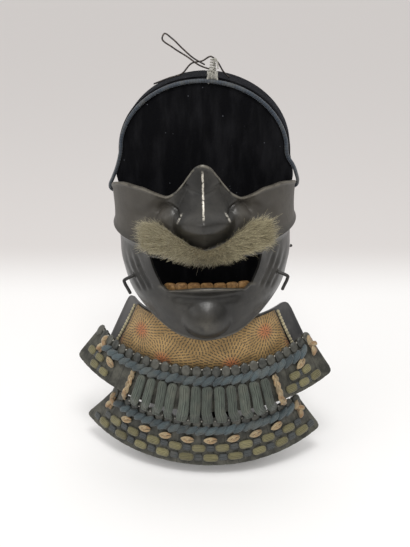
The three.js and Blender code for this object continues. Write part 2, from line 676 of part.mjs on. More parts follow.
function baseGeometry() {
  const { baseWidth, baseFront, baseBack, baseHeight } = stand;
  const corner = 8;
  const bevel = 2;
  const [left, right] = [-baseWidth / 2, baseWidth / 2];
  const outline = new THREE.Shape();
  outline.moveTo(left + corner, baseFront);
  outline.lineTo(right - corner, baseFront);
  outline.absarc(right - corner, baseFront + corner, corner, -Math.PI / 2, 0, false);
  outline.lineTo(right, baseBack - corner);
  outline.absarc(right - corner, baseBack - corner, corner, 0, Math.PI / 2, false);
  outline.lineTo(left + corner, baseBack);
  outline.absarc(left + corner, baseBack - corner, corner, Math.PI / 2, Math.PI, false);
  outline.lineTo(left, baseFront + corner);
  outline.absarc(left + corner, baseFront + corner, corner, Math.PI, 1.5 * Math.PI, false);
  const geometry = new THREE.ExtrudeGeometry(outline, {
    depth: baseHeight - 2 * bevel, curveSegments: 4, bevelEnabled: true, bevelSegments: 1,
    bevelSize: bevel, bevelThickness: bevel, bevelOffset: -bevel,
  });
  return geometry.translate(0, 0, bevel);
}

// The tying cord lies on the rounded front edge of the arch; turn is 0 at the right, 180 at the left.
function archPoint(turn, lift) {
  const { halfWidth, archBase, archRise, thickness, edgeRadius } = stand;
  const lean = 27 * degrees;
  const inset = edgeRadius - (edgeRadius + lift) * Math.sin(lean);
  const y = edgeRadius - thickness / 2 - (edgeRadius + lift) * Math.cos(lean);
  const angle = turn * degrees;
  const x = (halfWidth - inset) * Math.cos(angle);
  return new THREE.Vector3(x, y, archBase + (archRise - inset) * Math.sin(angle));
}

// The cord goes from behind one rear corner of the face, over the arch, to behind the other.
const cordRight = [[79.4, 2.6, 244], [83, 1.4, 246.8], [83.6, -4, 252], [81, -13, 261.5], [77, -22, 271.5]];
const cordLeft = [
  [-77.4, -15.5, 269], [-81.9, -11, 257.5], [-85.6, -5, 248.5], [-85.4, 0.8, 243.5], [-80.4, 2.6, 240],
];

function cordPoints() {
  const yaw = new THREE.Euler(0, 0, standYawDeg * degrees);
  const arch = [];
  for (let turn = 0; turn <= 180; turn += 12) arch.push(archPoint(turn, cordRadius + 0.45).applyEuler(yaw));
  const place = ([x, y, z]) => new THREE.Vector3(x, y, z);
  return [...cordRight.map(place), ...arch, ...cordLeft.map(place)];
}

// The hanging wire's loop and the wire that bridges the arch, as x and z.
// The loop's two legs lie side by side.
const wireLoop = [
  [4.5, 353], [-4, 356], [-15, 363.5], [-27, 371], [-35.5, 378.5], [-33.8, 381.8], [-27.5, 378], [-19, 370],
  [-9, 361.5], [0, 356.5],
];
const wireBridge = [
  [-44, 339.5], [-30, 344.8], [-20, 348], [-11, 357], [-2, 359], [5, 362.5], [10.5, 358], [16, 349.5],
  [21, 344.8],
];
const twineOutline = [[1, 341.5], [11.5, 341], [11, 352], [8, 364], [5.4, 364], [1.5, 352]];

function makeStand(group) {
  addMesh(group, "stand_base", baseGeometry(), materials.blackWood);
  addMesh(group, "stand_form", standGeometry(), materials.velvet);
}

function makeTies(group) {
  const cord = tubeGeometry(cordPoints(), cordRadius, 72);
  addMesh(group, "tying_cord", cord, materials.tieSilk);
  const loopPoints = wireLoop.map(([x, z], k) => new THREE.Vector3(x, -17 + (k < 5 ? 0 : 1.8), z));
  const bridgePoints = wireBridge.map(([x, z]) => new THREE.Vector3(x, -9.5, z));
  const loop = tubeGeometry(loopPoints, wireRadius, 36, 6);
  const bridge = tubeGeometry(bridgePoints, wireRadius, 32, 6);
  addMesh(group, "wire_loop", loop, materials.wire);
  addMesh(group, "wire_bridge", bridge, materials.wire);
  // The twine is wound round the cord and both wires, so its block is cut clear of them.
  const block = new THREE.Shape(twineOutline.map(([x, z]) => new THREE.Vector2(x, z)));
  const wound = new THREE.ExtrudeGeometry(block, { depth: 16.5, bevelEnabled: false });
  wound.rotateX(Math.PI / 2).translate(0, -7.5, 0);
  const clearance = [
    tubeGeometry(cordPoints(), cordRadius + gap, 72), tubeGeometry(loopPoints, wireRadius + gap, 36, 6),
    tubeGeometry(bridgePoints, wireRadius + gap, 32, 6),
    standGeometry().scale(1.004, 1.03, 1.0015).rotateZ(standYawDeg * degrees),
  ];
  const knot = clearance.reduce((solid, cutter) => solid.subtract(solidOf(cutter)), solidOf(wound));
  addMesh(group, "twine_knot", geometryOf(largestOf(knot)), materials.twine);
}

// ---------- the whole object ----------

const model = new THREE.Group();
const upright = turnedGroup("z", standYawDeg, new THREE.Vector3(0, 0, 0));
const face = turnedGroup("y", maskRollDeg, new THREE.Vector3(0, 0, 210));
const guard = turnedGroup("z", guardYawDeg, new THREE.Vector3(0, -60, 0));
makeStand(upright.inner);
makeFace(face.inner);
makeThroatGuard(guard.inner);
makeTies(model);
model.add(upright.outer, face.outer, guard.outer);

export default model;
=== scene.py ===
import bmesh
import bpy
import numpy as np
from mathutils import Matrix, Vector


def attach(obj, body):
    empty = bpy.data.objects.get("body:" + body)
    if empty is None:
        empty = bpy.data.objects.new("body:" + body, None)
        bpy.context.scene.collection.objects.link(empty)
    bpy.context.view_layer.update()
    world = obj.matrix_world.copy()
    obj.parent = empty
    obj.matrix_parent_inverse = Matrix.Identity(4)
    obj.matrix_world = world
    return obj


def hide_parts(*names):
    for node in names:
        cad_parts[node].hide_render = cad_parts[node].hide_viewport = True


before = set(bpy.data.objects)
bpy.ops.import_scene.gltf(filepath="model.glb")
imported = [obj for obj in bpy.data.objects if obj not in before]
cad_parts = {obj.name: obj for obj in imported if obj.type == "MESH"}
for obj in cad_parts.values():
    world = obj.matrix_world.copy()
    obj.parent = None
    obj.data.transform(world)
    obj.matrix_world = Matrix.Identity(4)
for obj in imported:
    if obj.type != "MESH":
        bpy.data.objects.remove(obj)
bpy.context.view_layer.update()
cadNodes = {node.name: node for node in bpy.context.scene.objects if node.type == "MESH"}

mm = 0.001  # shapes are worked out in millimetres and put into meshes in metres


# ---- numbers and small mathematics

def linearColour(hexText):
    # sRGB hex to linear red, green, blue, alpha
    srgb = np.array([int(hexText[k:k + 2], 16) for k in (1, 3, 5)]) / 255
    linear = np.where(srgb <= 0.04045, srgb / 12.92, ((srgb + 0.055) / 1.055) ** 2.4)
    return (*linear, 1.0)


def bell(distance, width):
    # e to the minus (distance / width) squared
    return np.exp(-(distance / width) ** 2)


def softStep(value):
    # 3t^2 - 2t^3 of the value held between 0 and 1
    share = np.clip(value, 0, 1)
    return share * share * (3 - 2 * share)


def unit(vectors):
    return vectors / np.maximum(np.linalg.norm(vectors, axis=-1, keepdims=True), 1e-9)


def readTable(table, placeKey, valueKey, place):
    # monotone cubic through the table's pairs; each inner tangent is the weighted harmonic mean of the
    # slopes on its two sides
    x, y = np.array(table[placeKey], float), np.array(table[valueKey], float)
    width = np.diff(x)
    slope = np.diff(y) / width
    tangent = np.empty(len(x))
    tangent[0], tangent[-1] = slope[0], slope[-1]
    before, after = slope[:-1], slope[1:]
    heavy, light = 2 * width[1:] + width[:-1], width[1:] + 2 * width[:-1]
    with np.errstate(all="ignore"):
        mean = (heavy + light) / (heavy / before + light / after)
    tangent[1:-1] = np.where(before * after > 0, mean, 0)
    at = np.clip(place, x[0], x[-1])
    i = np.clip(np.searchsorted(x, at) - 1, 0, len(x) - 2)
    w, t = width[i], (at - x[i]) / width[i]
    return (y[i] * (1 + 2 * t) * (1 - t) ** 2 + tangent[i] * w * t * (1 - t) ** 2
            + y[i + 1] * t * t * (3 - 2 * t) + tangent[i + 1] * w * t * t * (t - 1))


def smoothLine(points, count):
    # cubic through the points by their distance along, tangents from the neighbours, read at even distances
    p = np.array(points, float)
    d = np.concatenate([[0], np.cumsum(np.linalg.norm(np.diff(p, axis=0), axis=1))])
    slopes = np.gradient(p, d, axis=0)
    at = np.linspace(0, d[-1], count)
    i = np.clip(np.searchsorted(d, at) - 1, 0, len(d) - 2)
    w = (d[i + 1] - d[i])[:, None]
    t = ((at - d[i])[:, None]) / w
    return (p[i] * (1 + 2 * t) * (1 - t) ** 2 + slopes[i] * w * t * (1 - t) ** 2
            + p[i + 1] * t * t * (3 - 2 * t) + slopes[i + 1] * w * t * t * (t - 1))


def turned(points, axis, angleDeg, centre):
    # points turned by an angle about the x, y or z line through centre
    a, b = {"x": (1, 2), "y": (2, 0), "z": (0, 1)}[axis]
    angle = np.radians(angleDeg)
    moved = points - np.array(centre, float)
    out = moved.copy()
    out[..., a] = moved[..., a] * np.cos(angle) - moved[..., b] * np.sin(angle)
    out[..., b] = moved[..., a] * np.sin(angle) + moved[..., b] * np.cos(angle)
    return out + np.array(centre, float)


pose = {"maskRoll": -1.6, "guardYaw": -5, "standYaw": -4}


def onMask(points):
    return turned(points, "y", pose["maskRoll"], (0, 0, 210))


def onGuard(points):
    return turned(points, "z", pose["guardYaw"], (0, -60, 0))


def onStand(points):
    return turned(points, "z", pose["standYaw"], (0, 0, 0))


# ---- meshes

def shell(outer, inner, keep=None, uv=None, marks=None):
    # a wall between two grids of points (i, j): both faces over the kept cells, and a rim quad where a kept
    # cell has no kept neighbour
    nu, nv = outer.shape[:2]
    keep = np.ones((nu - 1, nv - 1), bool) if keep is None else keep
    i, j = np.nonzero(keep)
    cornersI = np.stack([i, i + 1, i + 1, i], 1)
    cornersJ = np.stack([j, j, j + 1, j + 1], 1)
    top = cornersI * nv + cornersJ
    under = top[:, ::-1] + nu * nv
    padded = np.pad(keep, 1)
    rims = []
    for side, (di, dj) in enumerate([(0, -1), (1, 0), (0, 1), (-1, 0)]):
        bare = ~padded[i + 1 + di, j + 1 + dj]
        start, end = top[bare, side], top[bare, (side + 1) % 4]
        rims.append(np.stack([end, start, start + nu * nv, end + nu * nv], 1))
    points = np.concatenate([outer.reshape(-1, 3), inner.reshape(-1, 3)])
    faces = np.concatenate([top, under, *rims])
    used = np.unique(faces)
    renumber = np.zeros(len(points), int)
    renumber[used] = np.arange(len(used))
    made = {"points": points[used], "faces": [renumber[faces]]}
    if uv is not None:
        made["uv"] = np.concatenate([uv.reshape(-1, 2)] * 2)[used]
    for name, values in (marks or {}).items():
        made.setdefault("marks", {})[name] = np.concatenate([values.ravel()] * 2)[used]
    return made


def tubes(centres, across, out, halfWidth, halfHeight, sides=8, square=1.0, around=12.0, tone=None):
    # for each line of centres, a ring of points round every centre: across * halfWidth * cos + out * halfHeight
    # * sin, both to the power square; the ends close on their centres
    count, stations = centres.shape[:2]
    turn = 2 * np.pi * np.arange(sides) / sides
    c, s = np.cos(turn), np.sin(turn)
    c, s = np.sign(c) * np.abs(c) ** square, np.sign(s) * np.abs(s) ** square
    wide = np.broadcast_to(halfWidth, (count, stations))[..., None, None]
    high = np.broadcast_to(halfHeight, (count, stations))[..., None, None]
    ring = (centres[:, :, None] + across[:, :, None] * wide * c[None, None, :, None]
            + out[:, :, None] * high * s[None, None, :, None])
    points = np.concatenate([ring.reshape(count, -1, 3), centres[:, :1], centres[:, -1:]], axis=1)
    each = points.shape[1]
    i, j = [grid.ravel() for grid in np.meshgrid(np.arange(stations - 1), np.arange(sides), indexing="ij")]
    alongAt = np.stack([i, i + 1, i + 1, i], 1)
    roundAt = np.stack([j, j, j + 1, j + 1], 1)
    quads = alongAt * sides + roundAt % sides
    side = np.arange(sides)
    after = (side + 1) % sides
    hub, last = stations * sides, (stations - 1) * sides
    caps = np.concatenate([np.stack([np.full(sides, hub), side, after], 1),
                           np.stack([np.full(sides, hub + 1), last + after, last + side], 1)])
    length = np.zeros((count, stations))
    length[:, 1:] = np.cumsum(np.linalg.norm(np.diff(centres, axis=1), axis=2), axis=1)
    start = np.arange(count) * 41.7  # each piece of thread reads its own stretch of the pattern
    quadUv = np.stack([length[:, alongAt] + start[:, None, None],
                       np.broadcast_to(roundAt * around / sides, (count, *roundAt.shape))], -1)
    capAlong = np.concatenate([np.zeros((sides, 3), int), np.full((sides, 3), stations - 1)])
    capRound = np.concatenate([np.stack([side, side, side + 1], 1), np.stack([side, side + 1, side], 1)])
    capUv = np.stack([length[:, capAlong] + start[:, None, None],
                      np.broadcast_to(capRound * around / sides, (count, *capRound.shape))], -1)
    shift = (np.arange(count) * each)[:, None, None]
    made = {"points": points.reshape(-1, 3),
            "faces": [(quads[None] + shift).reshape(-1, 4), (caps[None] + shift).reshape(-1, 3)],
            "cornerUv": [quadUv.reshape(-1, 4, 2), capUv.reshape(-1, 3, 2)]}
    tone = np.full(count, 0.5) if tone is None else tone
    made["marks"] = {"tone": np.repeat(tone, each)}
    return made


def joined(parts):
    # several forms as one mesh: their points in a row, their faces renumbered
    starts = np.cumsum([0] + [len(part["points"]) for part in parts])
    points = np.concatenate([part["points"] for part in parts])
    made = {"points": points, "faces": [], "cornerUv": [], "marks": {}}
    for part, start in zip(parts, starts):
        for k, group in enumerate(part["faces"]):
            made["faces"].append(group + start)
            corner = part["cornerUv"][k] if "cornerUv" in part else part["uv"][group]
            made["cornerUv"].append(corner)
    for name in {name for part in parts for name in part.get("marks", {})}:
        made["marks"][name] = np.concatenate([
            part.get("marks", {}).get(name, np.full(len(part["points"]), 0.5)) for part in parts])
    return made


def makePiece(name, form, material, nodes=(), turn=None, sharp=None):
    # one mesh from a form, faces turned outwards by the sign of its volume
    points = form["points"] if turn is None else turn(form["points"])
    groups = form["faces"]
    corner = form.get("cornerUv") or ([form["uv"][group] for group in groups] if "uv" in form else None)
    fans = [(group[:, 0], group[:, k], group[:, k + 1])
            for group in groups for k in range(1, group.shape[1] - 1)]
    volume = sum(np.einsum("ij,ij->", points[a], np.cross(points[b], points[c])) for a, b, c in fans)
    if volume < 0:
        groups = [group[:, ::-1] for group in groups]
        corner = corner and [part[:, ::-1] for part in corner]
    loops = np.concatenate([group.ravel() for group in groups]).astype(np.int32)
    sizes = np.concatenate([np.full(len(group), group.shape[1]) for group in groups])
    mesh = bpy.data.meshes.new(name)
    mesh.vertices.add(len(points))
    mesh.vertices.foreach_set("co", (points * mm).astype(np.float32).ravel())
    mesh.loops.add(len(loops))
    mesh.loops.foreach_set("vertex_index", loops)
    mesh.polygons.add(len(sizes))
    mesh.polygons.foreach_set("loop_start", (np.cumsum(sizes) - sizes).astype(np.int32))
    mesh.update(calc_edges=True)
    mesh.shade_smooth()
    if corner:
        flat = np.concatenate([part.reshape(-1, 2) for part in corner]) * mm
        mesh.uv_layers.new(name="surface").data.foreach_set("uv", flat.astype(np.float32).ravel())
    for mark, values in form.get("marks", {}).items():
        mesh.attributes.new(mark, "FLOAT", "POINT").data.foreach_set("value", values.astype(np.float32))
    if sharp:
        mesh.set_sharp_from_angle(angle=np.radians(sharp))
    mesh.materials.append(material)
    piece = bpy.data.objects.new(name, mesh)
    bpy.context.scene.collection.objects.link(piece)
    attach(piece, "root")
    if nodes:
        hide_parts(*nodes)
    return piece


# ---- node graphs

def addNode(tree, kind, links=None, output=None, **settings):
    # a node with its settings, its sockets set to values or linked, and the output that is wanted
    node = tree.nodes.new(kind)
    for key, value in settings.items():
        setattr(node, key, value)
    for socket, source in (links or {}).items():
        if isinstance(source, bpy.types.NodeSocket):
            tree.links.new(source, node.inputs[socket])
        else:
            node.inputs[socket].default_value = source
    if output:
        return node.outputs[output]
    return next(found for found in node.outputs if found.enabled)


def startMaterial(name, **surface):
    material = bpy.data.materials.new(name)
    material.use_nodes = True
    shader = material.node_tree.nodes["Principled BSDF"]
    for key, value in surface.items():
        shader.inputs[key.replace("_", " ")].default_value = value
    return material, material.node_tree, shader


def noise(tree, place, size, detail=3.0, roughness=0.5, distortion=0.0, output="Fac"):
    # cloudy pattern whose lumps are about size millimetres across
    return addNode(tree, "ShaderNodeTexNoise", {"Vector": place, "Scale": 1000 / size, "Detail": detail,
                                                "Roughness": roughness, "Distortion": distortion}, output)


def spread(tree, value, low, high, toLow=0.0, toHigh=1.0, kind="SMOOTHSTEP"):
    return addNode(tree, "ShaderNodeMapRange", {"Value": value, "From Min": low, "From Max": high,
                                                "To Min": toLow, "To Max": toHigh}, interpolation_type=kind)


def maths(tree, operation, a, b=0.5, c=0.5):
    return addNode(tree, "ShaderNodeMath", {0: a, 1: b, 2: c}, operation=operation)


def blended(tree, factor, a, b, mode="MIX"):
    sources = {0: factor, 6: linearColour(a) if isinstance(a, str) else a,
               7: linearColour(b) if isinstance(b, str) else b}
    return addNode(tree, "ShaderNodeMix", sources, data_type="RGBA", blend_type=mode)


def raised(tree, shader, height, depth, strength=1.0, under=None):
    # bump of a height pattern, depth in millimetres
    links = {"Height": height, "Distance": depth * mm, "Strength": strength}
    if under is not None:
        links["Normal"] = under
    bump = addNode(tree, "ShaderNodeBump", links)
    tree.links.new(bump, shader.inputs["Normal"])
    return bump


def surfacePlace(tree):
    return addNode(tree, "ShaderNodeTexCoord", output="UV")


def objectPlace(tree):
    return addNode(tree, "ShaderNodeTexCoord", output="Object")


def mark(tree, name):
    return addNode(tree, "ShaderNodeAttribute", output="Fac", attribute_name=name)


def paint(tree, shader, colour):
    tree.links.new(colour, shader.inputs["Base Color"])


# ---- finishes

def wornLacqueredIron(name, worn=True):
    # hammered iron under thin brown-black lacquer: satin, cloudy, rubbed to bare grey metal on its ridges; the rub
    # mark also adds painted highlights
    material, tree, shader = startMaterial(name, Metallic=0.2, Roughness=0.4)
    place = objectPlace(tree)
    clouds = noise(tree, place, 28, 4, 0.55)
    grain = noise(tree, place, 1.1, 3)
    scuffs = noise(tree, place, 6, 5, 0.7)
    colour = blended(tree, spread(tree, clouds, 0.35, 0.68), "#1f1e1c", "#35332f")
    colour = blended(tree, spread(tree, scuffs, 0.52, 0.72, 0, 0.6), colour, "#121110")
    colour = blended(tree, spread(tree, grain, 0.62, 0.8, 0, 0.35), colour, "#55534d")
    if worn:
        # rub mark: worn rims and lower lip, partly painted highlight there, plus painted highlights on the cheek
        # rolls and chin boss
        rubbedAndHighlit = maths(tree, "MULTIPLY", mark(tree, "rub"), spread(tree, scuffs, 0.3, 0.55))
        colour = blended(tree, maths(tree, "MINIMUM", rubbedAndHighlit, 1.0), colour, "#7b766a")
        upper = mark(tree, "upper")
        colour = blended(tree, maths(tree, "MULTIPLY", upper, 0.38), colour, "#5b554c")
        gloss = spread(tree, upper, 0, 1, 0.35, 0.5, "LINEAR")
        rough = maths(tree, "MULTIPLY_ADD", scuffs, 0.16, maths(tree, "SUBTRACT", gloss, 0.08))
        tree.links.new(rough, shader.inputs["Roughness"])
        surface = surfacePlace(tree)
        xyz = addNode(tree, "ShaderNodeSeparateXYZ", {0: surface}, "X")
        node = xyz.node
        side = maths(tree, "ABSOLUTE", xyz)
        wander = maths(tree, "MULTIPLY_ADD", noise(tree, surface, 9, 2), 0.0012, -0.0006)
        offRidge = maths(tree, "ABSOLUTE", maths(tree, "ADD", xyz, wander))
        ridge = spread(tree, offRidge, 0.0004, 0.0011, 1, 0)
        ridge = maths(tree, "MULTIPLY", ridge, spread(tree, node.outputs["Y"], 0.2395, 0.246))
        ridge = maths(tree, "MULTIPLY", ridge, spread(tree, node.outputs["Y"], 0.280, 0.285, 1, 0))
        ridge = maths(tree, "MULTIPLY", ridge, spread(tree, noise(tree, surface, 2.4, 4, 0.7), 0.36, 0.52))
        colour = blended(tree, ridge, colour, "#c9c3b6")
        dx = maths(tree, "SUBTRACT", side, 0.0195)
        dz = maths(tree, "SUBTRACT", node.outputs["Y"], 0.2445)
        slant = maths(tree, "ABSOLUTE", maths(tree, "MULTIPLY_ADD", dz, 0.45, dx))
        spot = maths(tree, "MULTIPLY", spread(tree, slant, 0.0004, 0.0012, 1, 0),
                     spread(tree, maths(tree, "ABSOLUTE", dz), 0.002, 0.0055, 1, 0))
        spot = maths(tree, "MULTIPLY", spot, spread(tree, noise(tree, surface, 1.8, 3), 0.4, 0.55))
        colour = blended(tree, spot, colour, "#bdb9ae")
    paint(tree, shader, colour)
    bump = raised(tree, shader, noise(tree, place, 7, 3, 0.5), 0.5, 0.55)
    raised(tree, shader, grain, 0.12, 0.5, bump)
    return material


def silk(name, light, dark, thread=0.9, crossing=0.0, rough=0.62, stain=None):
    # flat or bundled silk: fine threads lie along the piece, dull with a soft sheen; thread pitch in millimetres
    material, tree, shader = startMaterial(name, Roughness=rough, Sheen_Weight=0.25, Sheen_Roughness=0.4)
    place = surfacePlace(tree)
    split = addNode(tree, "ShaderNodeSeparateXYZ", {0: place}, "X").node
    wobble = maths(tree, "MULTIPLY_ADD", noise(tree, place, 5, 2), 0.0011, 0.0)
    across = maths(tree, "ADD", split.outputs["Y"], wobble)
    lines = maths(tree, "SINE", maths(tree, "MULTIPLY", across, 2 * np.pi / (thread * mm)))
    lines = maths(tree, "MULTIPLY_ADD", lines, 0.5, 0.5)
    if crossing:
        braid = maths(tree, "SINE", maths(tree, "MULTIPLY", split.outputs["X"], 2 * np.pi / (crossing * mm)))
        lines = maths(tree, "MULTIPLY", lines, maths(tree, "MULTIPLY_ADD", braid, 0.4, 0.6))
    stretched = addNode(tree, "ShaderNodeVectorMath", {0: place, 1: (0.18, 1.0, 1.0)}, operation="MULTIPLY")
    streaks = noise(tree, stretched, 1.3, 4, 0.6)
    shade = maths(tree, "MULTIPLY_ADD", lines, 0.45, maths(tree, "MULTIPLY", streaks, 0.75))
    colour = blended(tree, spread(tree, shade, 0.22, 0.85), dark, light)
    tone = mark(tree, "tone")
    colour = blended(tree, spread(tree, tone, 0.5, 1.0, 0, 0.35), colour, "#ffffff", "SOFT_LIGHT")
    colour = blended(tree, spread(tree, tone, 0.5, 0.0, 0, 0.55), colour, "#101010", "MULTIPLY")
    if stain:
        patch = spread(tree, noise(tree, place, 7, 3), 0.45, 0.62)
        colour = blended(tree, maths(tree, "MULTIPLY", patch, 0.75), colour, stain)
    dust = spread(tree, noise(tree, objectPlace(tree), 14, 4, 0.6), 0.45, 0.7, 0, 0.25)
    colour = blended(tree, dust, colour, "#6f6a5c")
    paint(tree, shader, colour)
    raised(tree, shader, shade, 0.35, 0.8)
    return material


def agedHair():
    # bristle, yellowed at the tips and dark near the skin of the plate
    material, tree, shader = startMaterial("yellowed_boar_bristle", Roughness=0.5, Sheen_Weight=0.2)
    tone, along = mark(tree, "tone"), mark(tree, "along")
    colour = blended(tree, tone, "#6b6248", "#cfc5a2")
    colour = blended(tree, spread(tree, along, 0.6, 0.0, 0, 0.75), colour, "#4a4030")
    paint(tree, shader, colour)
    return material


def hairUndercoat():
    # the shadowed mat of hair roots
    material, tree, shader = startMaterial("matted_hair_roots", Roughness=0.95)
    place = objectPlace(tree)
    stretched = addNode(tree, "ShaderNodeVectorMath", {0: place, 1: (1.0, 1.0, 0.3)}, operation="MULTIPLY")
    streaks = noise(tree, stretched, 0.8, 4, 0.7)
    paint(tree, shader, blended(tree, streaks, "#2b2519", "#8a7f62"))
    raised(tree, shader, streaks, 0.6, 0.9)
    return material


def ochreToothLacquer():
    # brushed ochre lacquer over iron, darker in the gaps and along the gum
    material, tree, shader = startMaterial("brushed_ochre_tooth_lacquer", Roughness=0.42, Metallic=0.1)
    place = objectPlace(tree)
    patches = noise(tree, place, 3, 4, 0.65)
    colour = blended(tree, spread(tree, patches, 0.35, 0.65), "#745534", "#a98354")
    colour = blended(tree, mark(tree, "gap"), colour, "#3b2815")
    paint(tree, shader, colour)
    raised(tree, shader, noise(tree, place, 0.7, 3), 0.12, 0.6)
    return material


def blackPlateLacquer():
    # satin black lacquer on iron plate, greyed by handling, with shallow brush ripples
    material, tree, shader = startMaterial("satin_black_plate_lacquer", Roughness=0.38, Coat_Weight=0.25,
                                           Coat_Roughness=0.3)
    place = objectPlace(tree)
    rub = noise(tree, place, 11, 5, 0.65)
    colour = blended(tree, spread(tree, rub, 0.4, 0.7), "#1e1e1f", "#3b3a39")
    paint(tree, shader, colour)
    tree.links.new(spread(tree, rub, 0.3, 0.7, 0.3, 0.5, "LINEAR"), shader.inputs["Roughness"])
    raised(tree, shader, noise(tree, place, 2.2, 3), 0.18, 0.45)
    return material


def boardLacquer(name, pitch, light="#4f4e45", dark="#26261f"):
    # old lacquer over a row of rawhide scales: olive-grey, crazed, with a faint groove at every scale
    material, tree, shader = startMaterial(name, Roughness=0.5)
    place, surface = objectPlace(tree), surfacePlace(tree)
    patches = noise(tree, place, 9, 5, 0.65)
    colour = blended(tree, spread(tree, patches, 0.36, 0.66), dark, light)
    fine = noise(tree, place, 0.8, 4, 0.7)
    colour = blended(tree, spread(tree, fine, 0.55, 0.75, 0, 0.5), colour, "#6e6a5a")
    x = addNode(tree, "ShaderNodeSeparateXYZ", {0: surface}, "X")
    groove = spread(tree, maths(tree, "PINGPONG", x, pitch * mm / 2), 0.0, 0.00055, 1, 0)
    colour = blended(tree, maths(tree, "MULTIPLY", groove, 0.7), colour, "#1b1b18")
    paint(tree, shader, colour)
    bump = raised(tree, shader, maths(tree, "SUBTRACT", 1.0, groove), 0.4, 0.7)
    raised(tree, shader, fine, 0.15, 0.5, bump)
    return material


def headLacquer():
    # the same lacquer on the scale heads, worn shiny on their crowns
    material, tree, shader = startMaterial("worn_scale_head_lacquer", Roughness=0.4, Metallic=0.1)
    place = objectPlace(tree)
    patches = noise(tree, place, 4, 4, 0.65)
    colour = blended(tree, spread(tree, patches, 0.35, 0.65), "#292a27", "#494a45")
    colour = blended(tree, spread(tree, mark(tree, "tone"), 0.2, 0.8, 0, 0.35), colour, "#6c6a60")
    paint(tree, shader, colour)
    raised(tree, shader, noise(tree, place, 1.1, 3), 0.18, 0.5)
    return material


def smokedPrintedHide(rosettes):
    # smoked doeskin stencilled with rings of short dark strokes round madder-red rosettes
    material, tree, shader = startMaterial("stencilled_smoked_doeskin", Roughness=0.72, Sheen_Weight=0.15)
    surface = surfacePlace(tree)
    warp = addNode(tree, "ShaderNodeVectorMath",
                   {0: noise(tree, surface, 5, 2, output="Color"), 1: (0.5, 0.5, 0.5)}, operation="SUBTRACT")
    warp = addNode(tree, "ShaderNodeVectorMath", {0: warp, 3: 0.0011}, operation="SCALE")
    place = addNode(tree, "ShaderNodeVectorMath", {0: surface, 1: warp}, operation="ADD")
    away, best = None, None
    for u, v in rosettes:
        offset = addNode(tree, "ShaderNodeVectorMath", {0: place, 1: (u * mm, v * mm, 0)}, operation="SUBTRACT")
        reach = addNode(tree, "ShaderNodeVectorMath", {0: offset}, "Value", operation="LENGTH")
        if best is None:
            away, best = offset, reach
            continue
        nearer = maths(tree, "LESS_THAN", reach, best)
        away = addNode(tree, "ShaderNodeMix", {0: nearer, 4: away, 5: offset}, data_type="VECTOR")
        best = maths(tree, "MINIMUM", reach, best)
    xyz = addNode(tree, "ShaderNodeSeparateXYZ", {0: away}, "X").node
    angle = maths(tree, "ARCTAN2", xyz.outputs["Y"], xyz.outputs["X"])
    ringPitch, strokePitch = 3.9, 3.0  # millimetres, drawn a little coarser than the real print so that it shows
    ring = maths(tree, "DIVIDE", best, ringPitch * mm)
    ringIndex = maths(tree, "FLOOR", ring)
    inRing = maths(tree, "FRACT", ring)
    strokes = maths(tree, "ROUND", maths(tree, "MULTIPLY_ADD", ringIndex, 2 * np.pi * ringPitch / strokePitch, 6.0))
    shift = maths(tree, "MULTIPLY", ringIndex, 0.37)
    turn = maths(tree, "MULTIPLY_ADD", maths(tree, "DIVIDE", angle, 2 * np.pi), strokes, shift)
    inStroke = maths(tree, "FRACT", turn)
    sideways = maths(tree, "ABSOLUTE", maths(tree, "SUBTRACT", inStroke, 0.5))
    lengthways = maths(tree, "ABSOLUTE", maths(tree, "SUBTRACT", inRing, 0.5))
    ragged = maths(tree, "MULTIPLY_ADD", noise(tree, surface, 1.3, 2), 0.3, -0.15)
    dash = maths(tree, "MULTIPLY",
                 spread(tree, maths(tree, "ADD", sideways, ragged), 0.13, 0.24, 1, 0),
                 spread(tree, maths(tree, "ADD", lengthways, ragged), 0.34, 0.47, 1, 0))
    ground = blended(tree, spread(tree, noise(tree, surface, 16, 4, 0.6), 0.35, 0.65), "#8f7243", "#ab8b58")
    ground = blended(tree, spread(tree, best, 0.002, 0.011, 0.75, 0), ground, "#b4633a")
    ground = blended(tree, spread(tree, noise(tree, surface, 2.0, 4, 0.7), 0.5, 0.75, 0, 0.4), ground, "#8a6c3d")
    colour = blended(tree, maths(tree, "MULTIPLY", dash, 0.9), ground, "#3c3527")
    crack = addNode(tree, "ShaderNodeTexNoise", {"Vector": surface, "Scale": 1000 / 40, "Detail": 4.0}, "Fac")
    crease = spread(tree, maths(tree, "ABSOLUTE", maths(tree, "SUBTRACT", crack, 0.5)), 0.0, 0.006, 0.7, 0)
    colour = blended(tree, maths(tree, "MULTIPLY", crease, 0.6), colour, "#2c2619")
    # painted shade: darker at the bottom edge beside the board, the top edge under the chin and both ends
    colour = blended(tree, mark(tree, "soil"), colour, "#33291a")
    paint(tree, shader, colour)
    bump = raised(tree, shader, dash, -0.12, 0.4)
    raised(tree, shader, noise(tree, surface, 0.5, 3), 0.1, 0.4, bump)
    return material


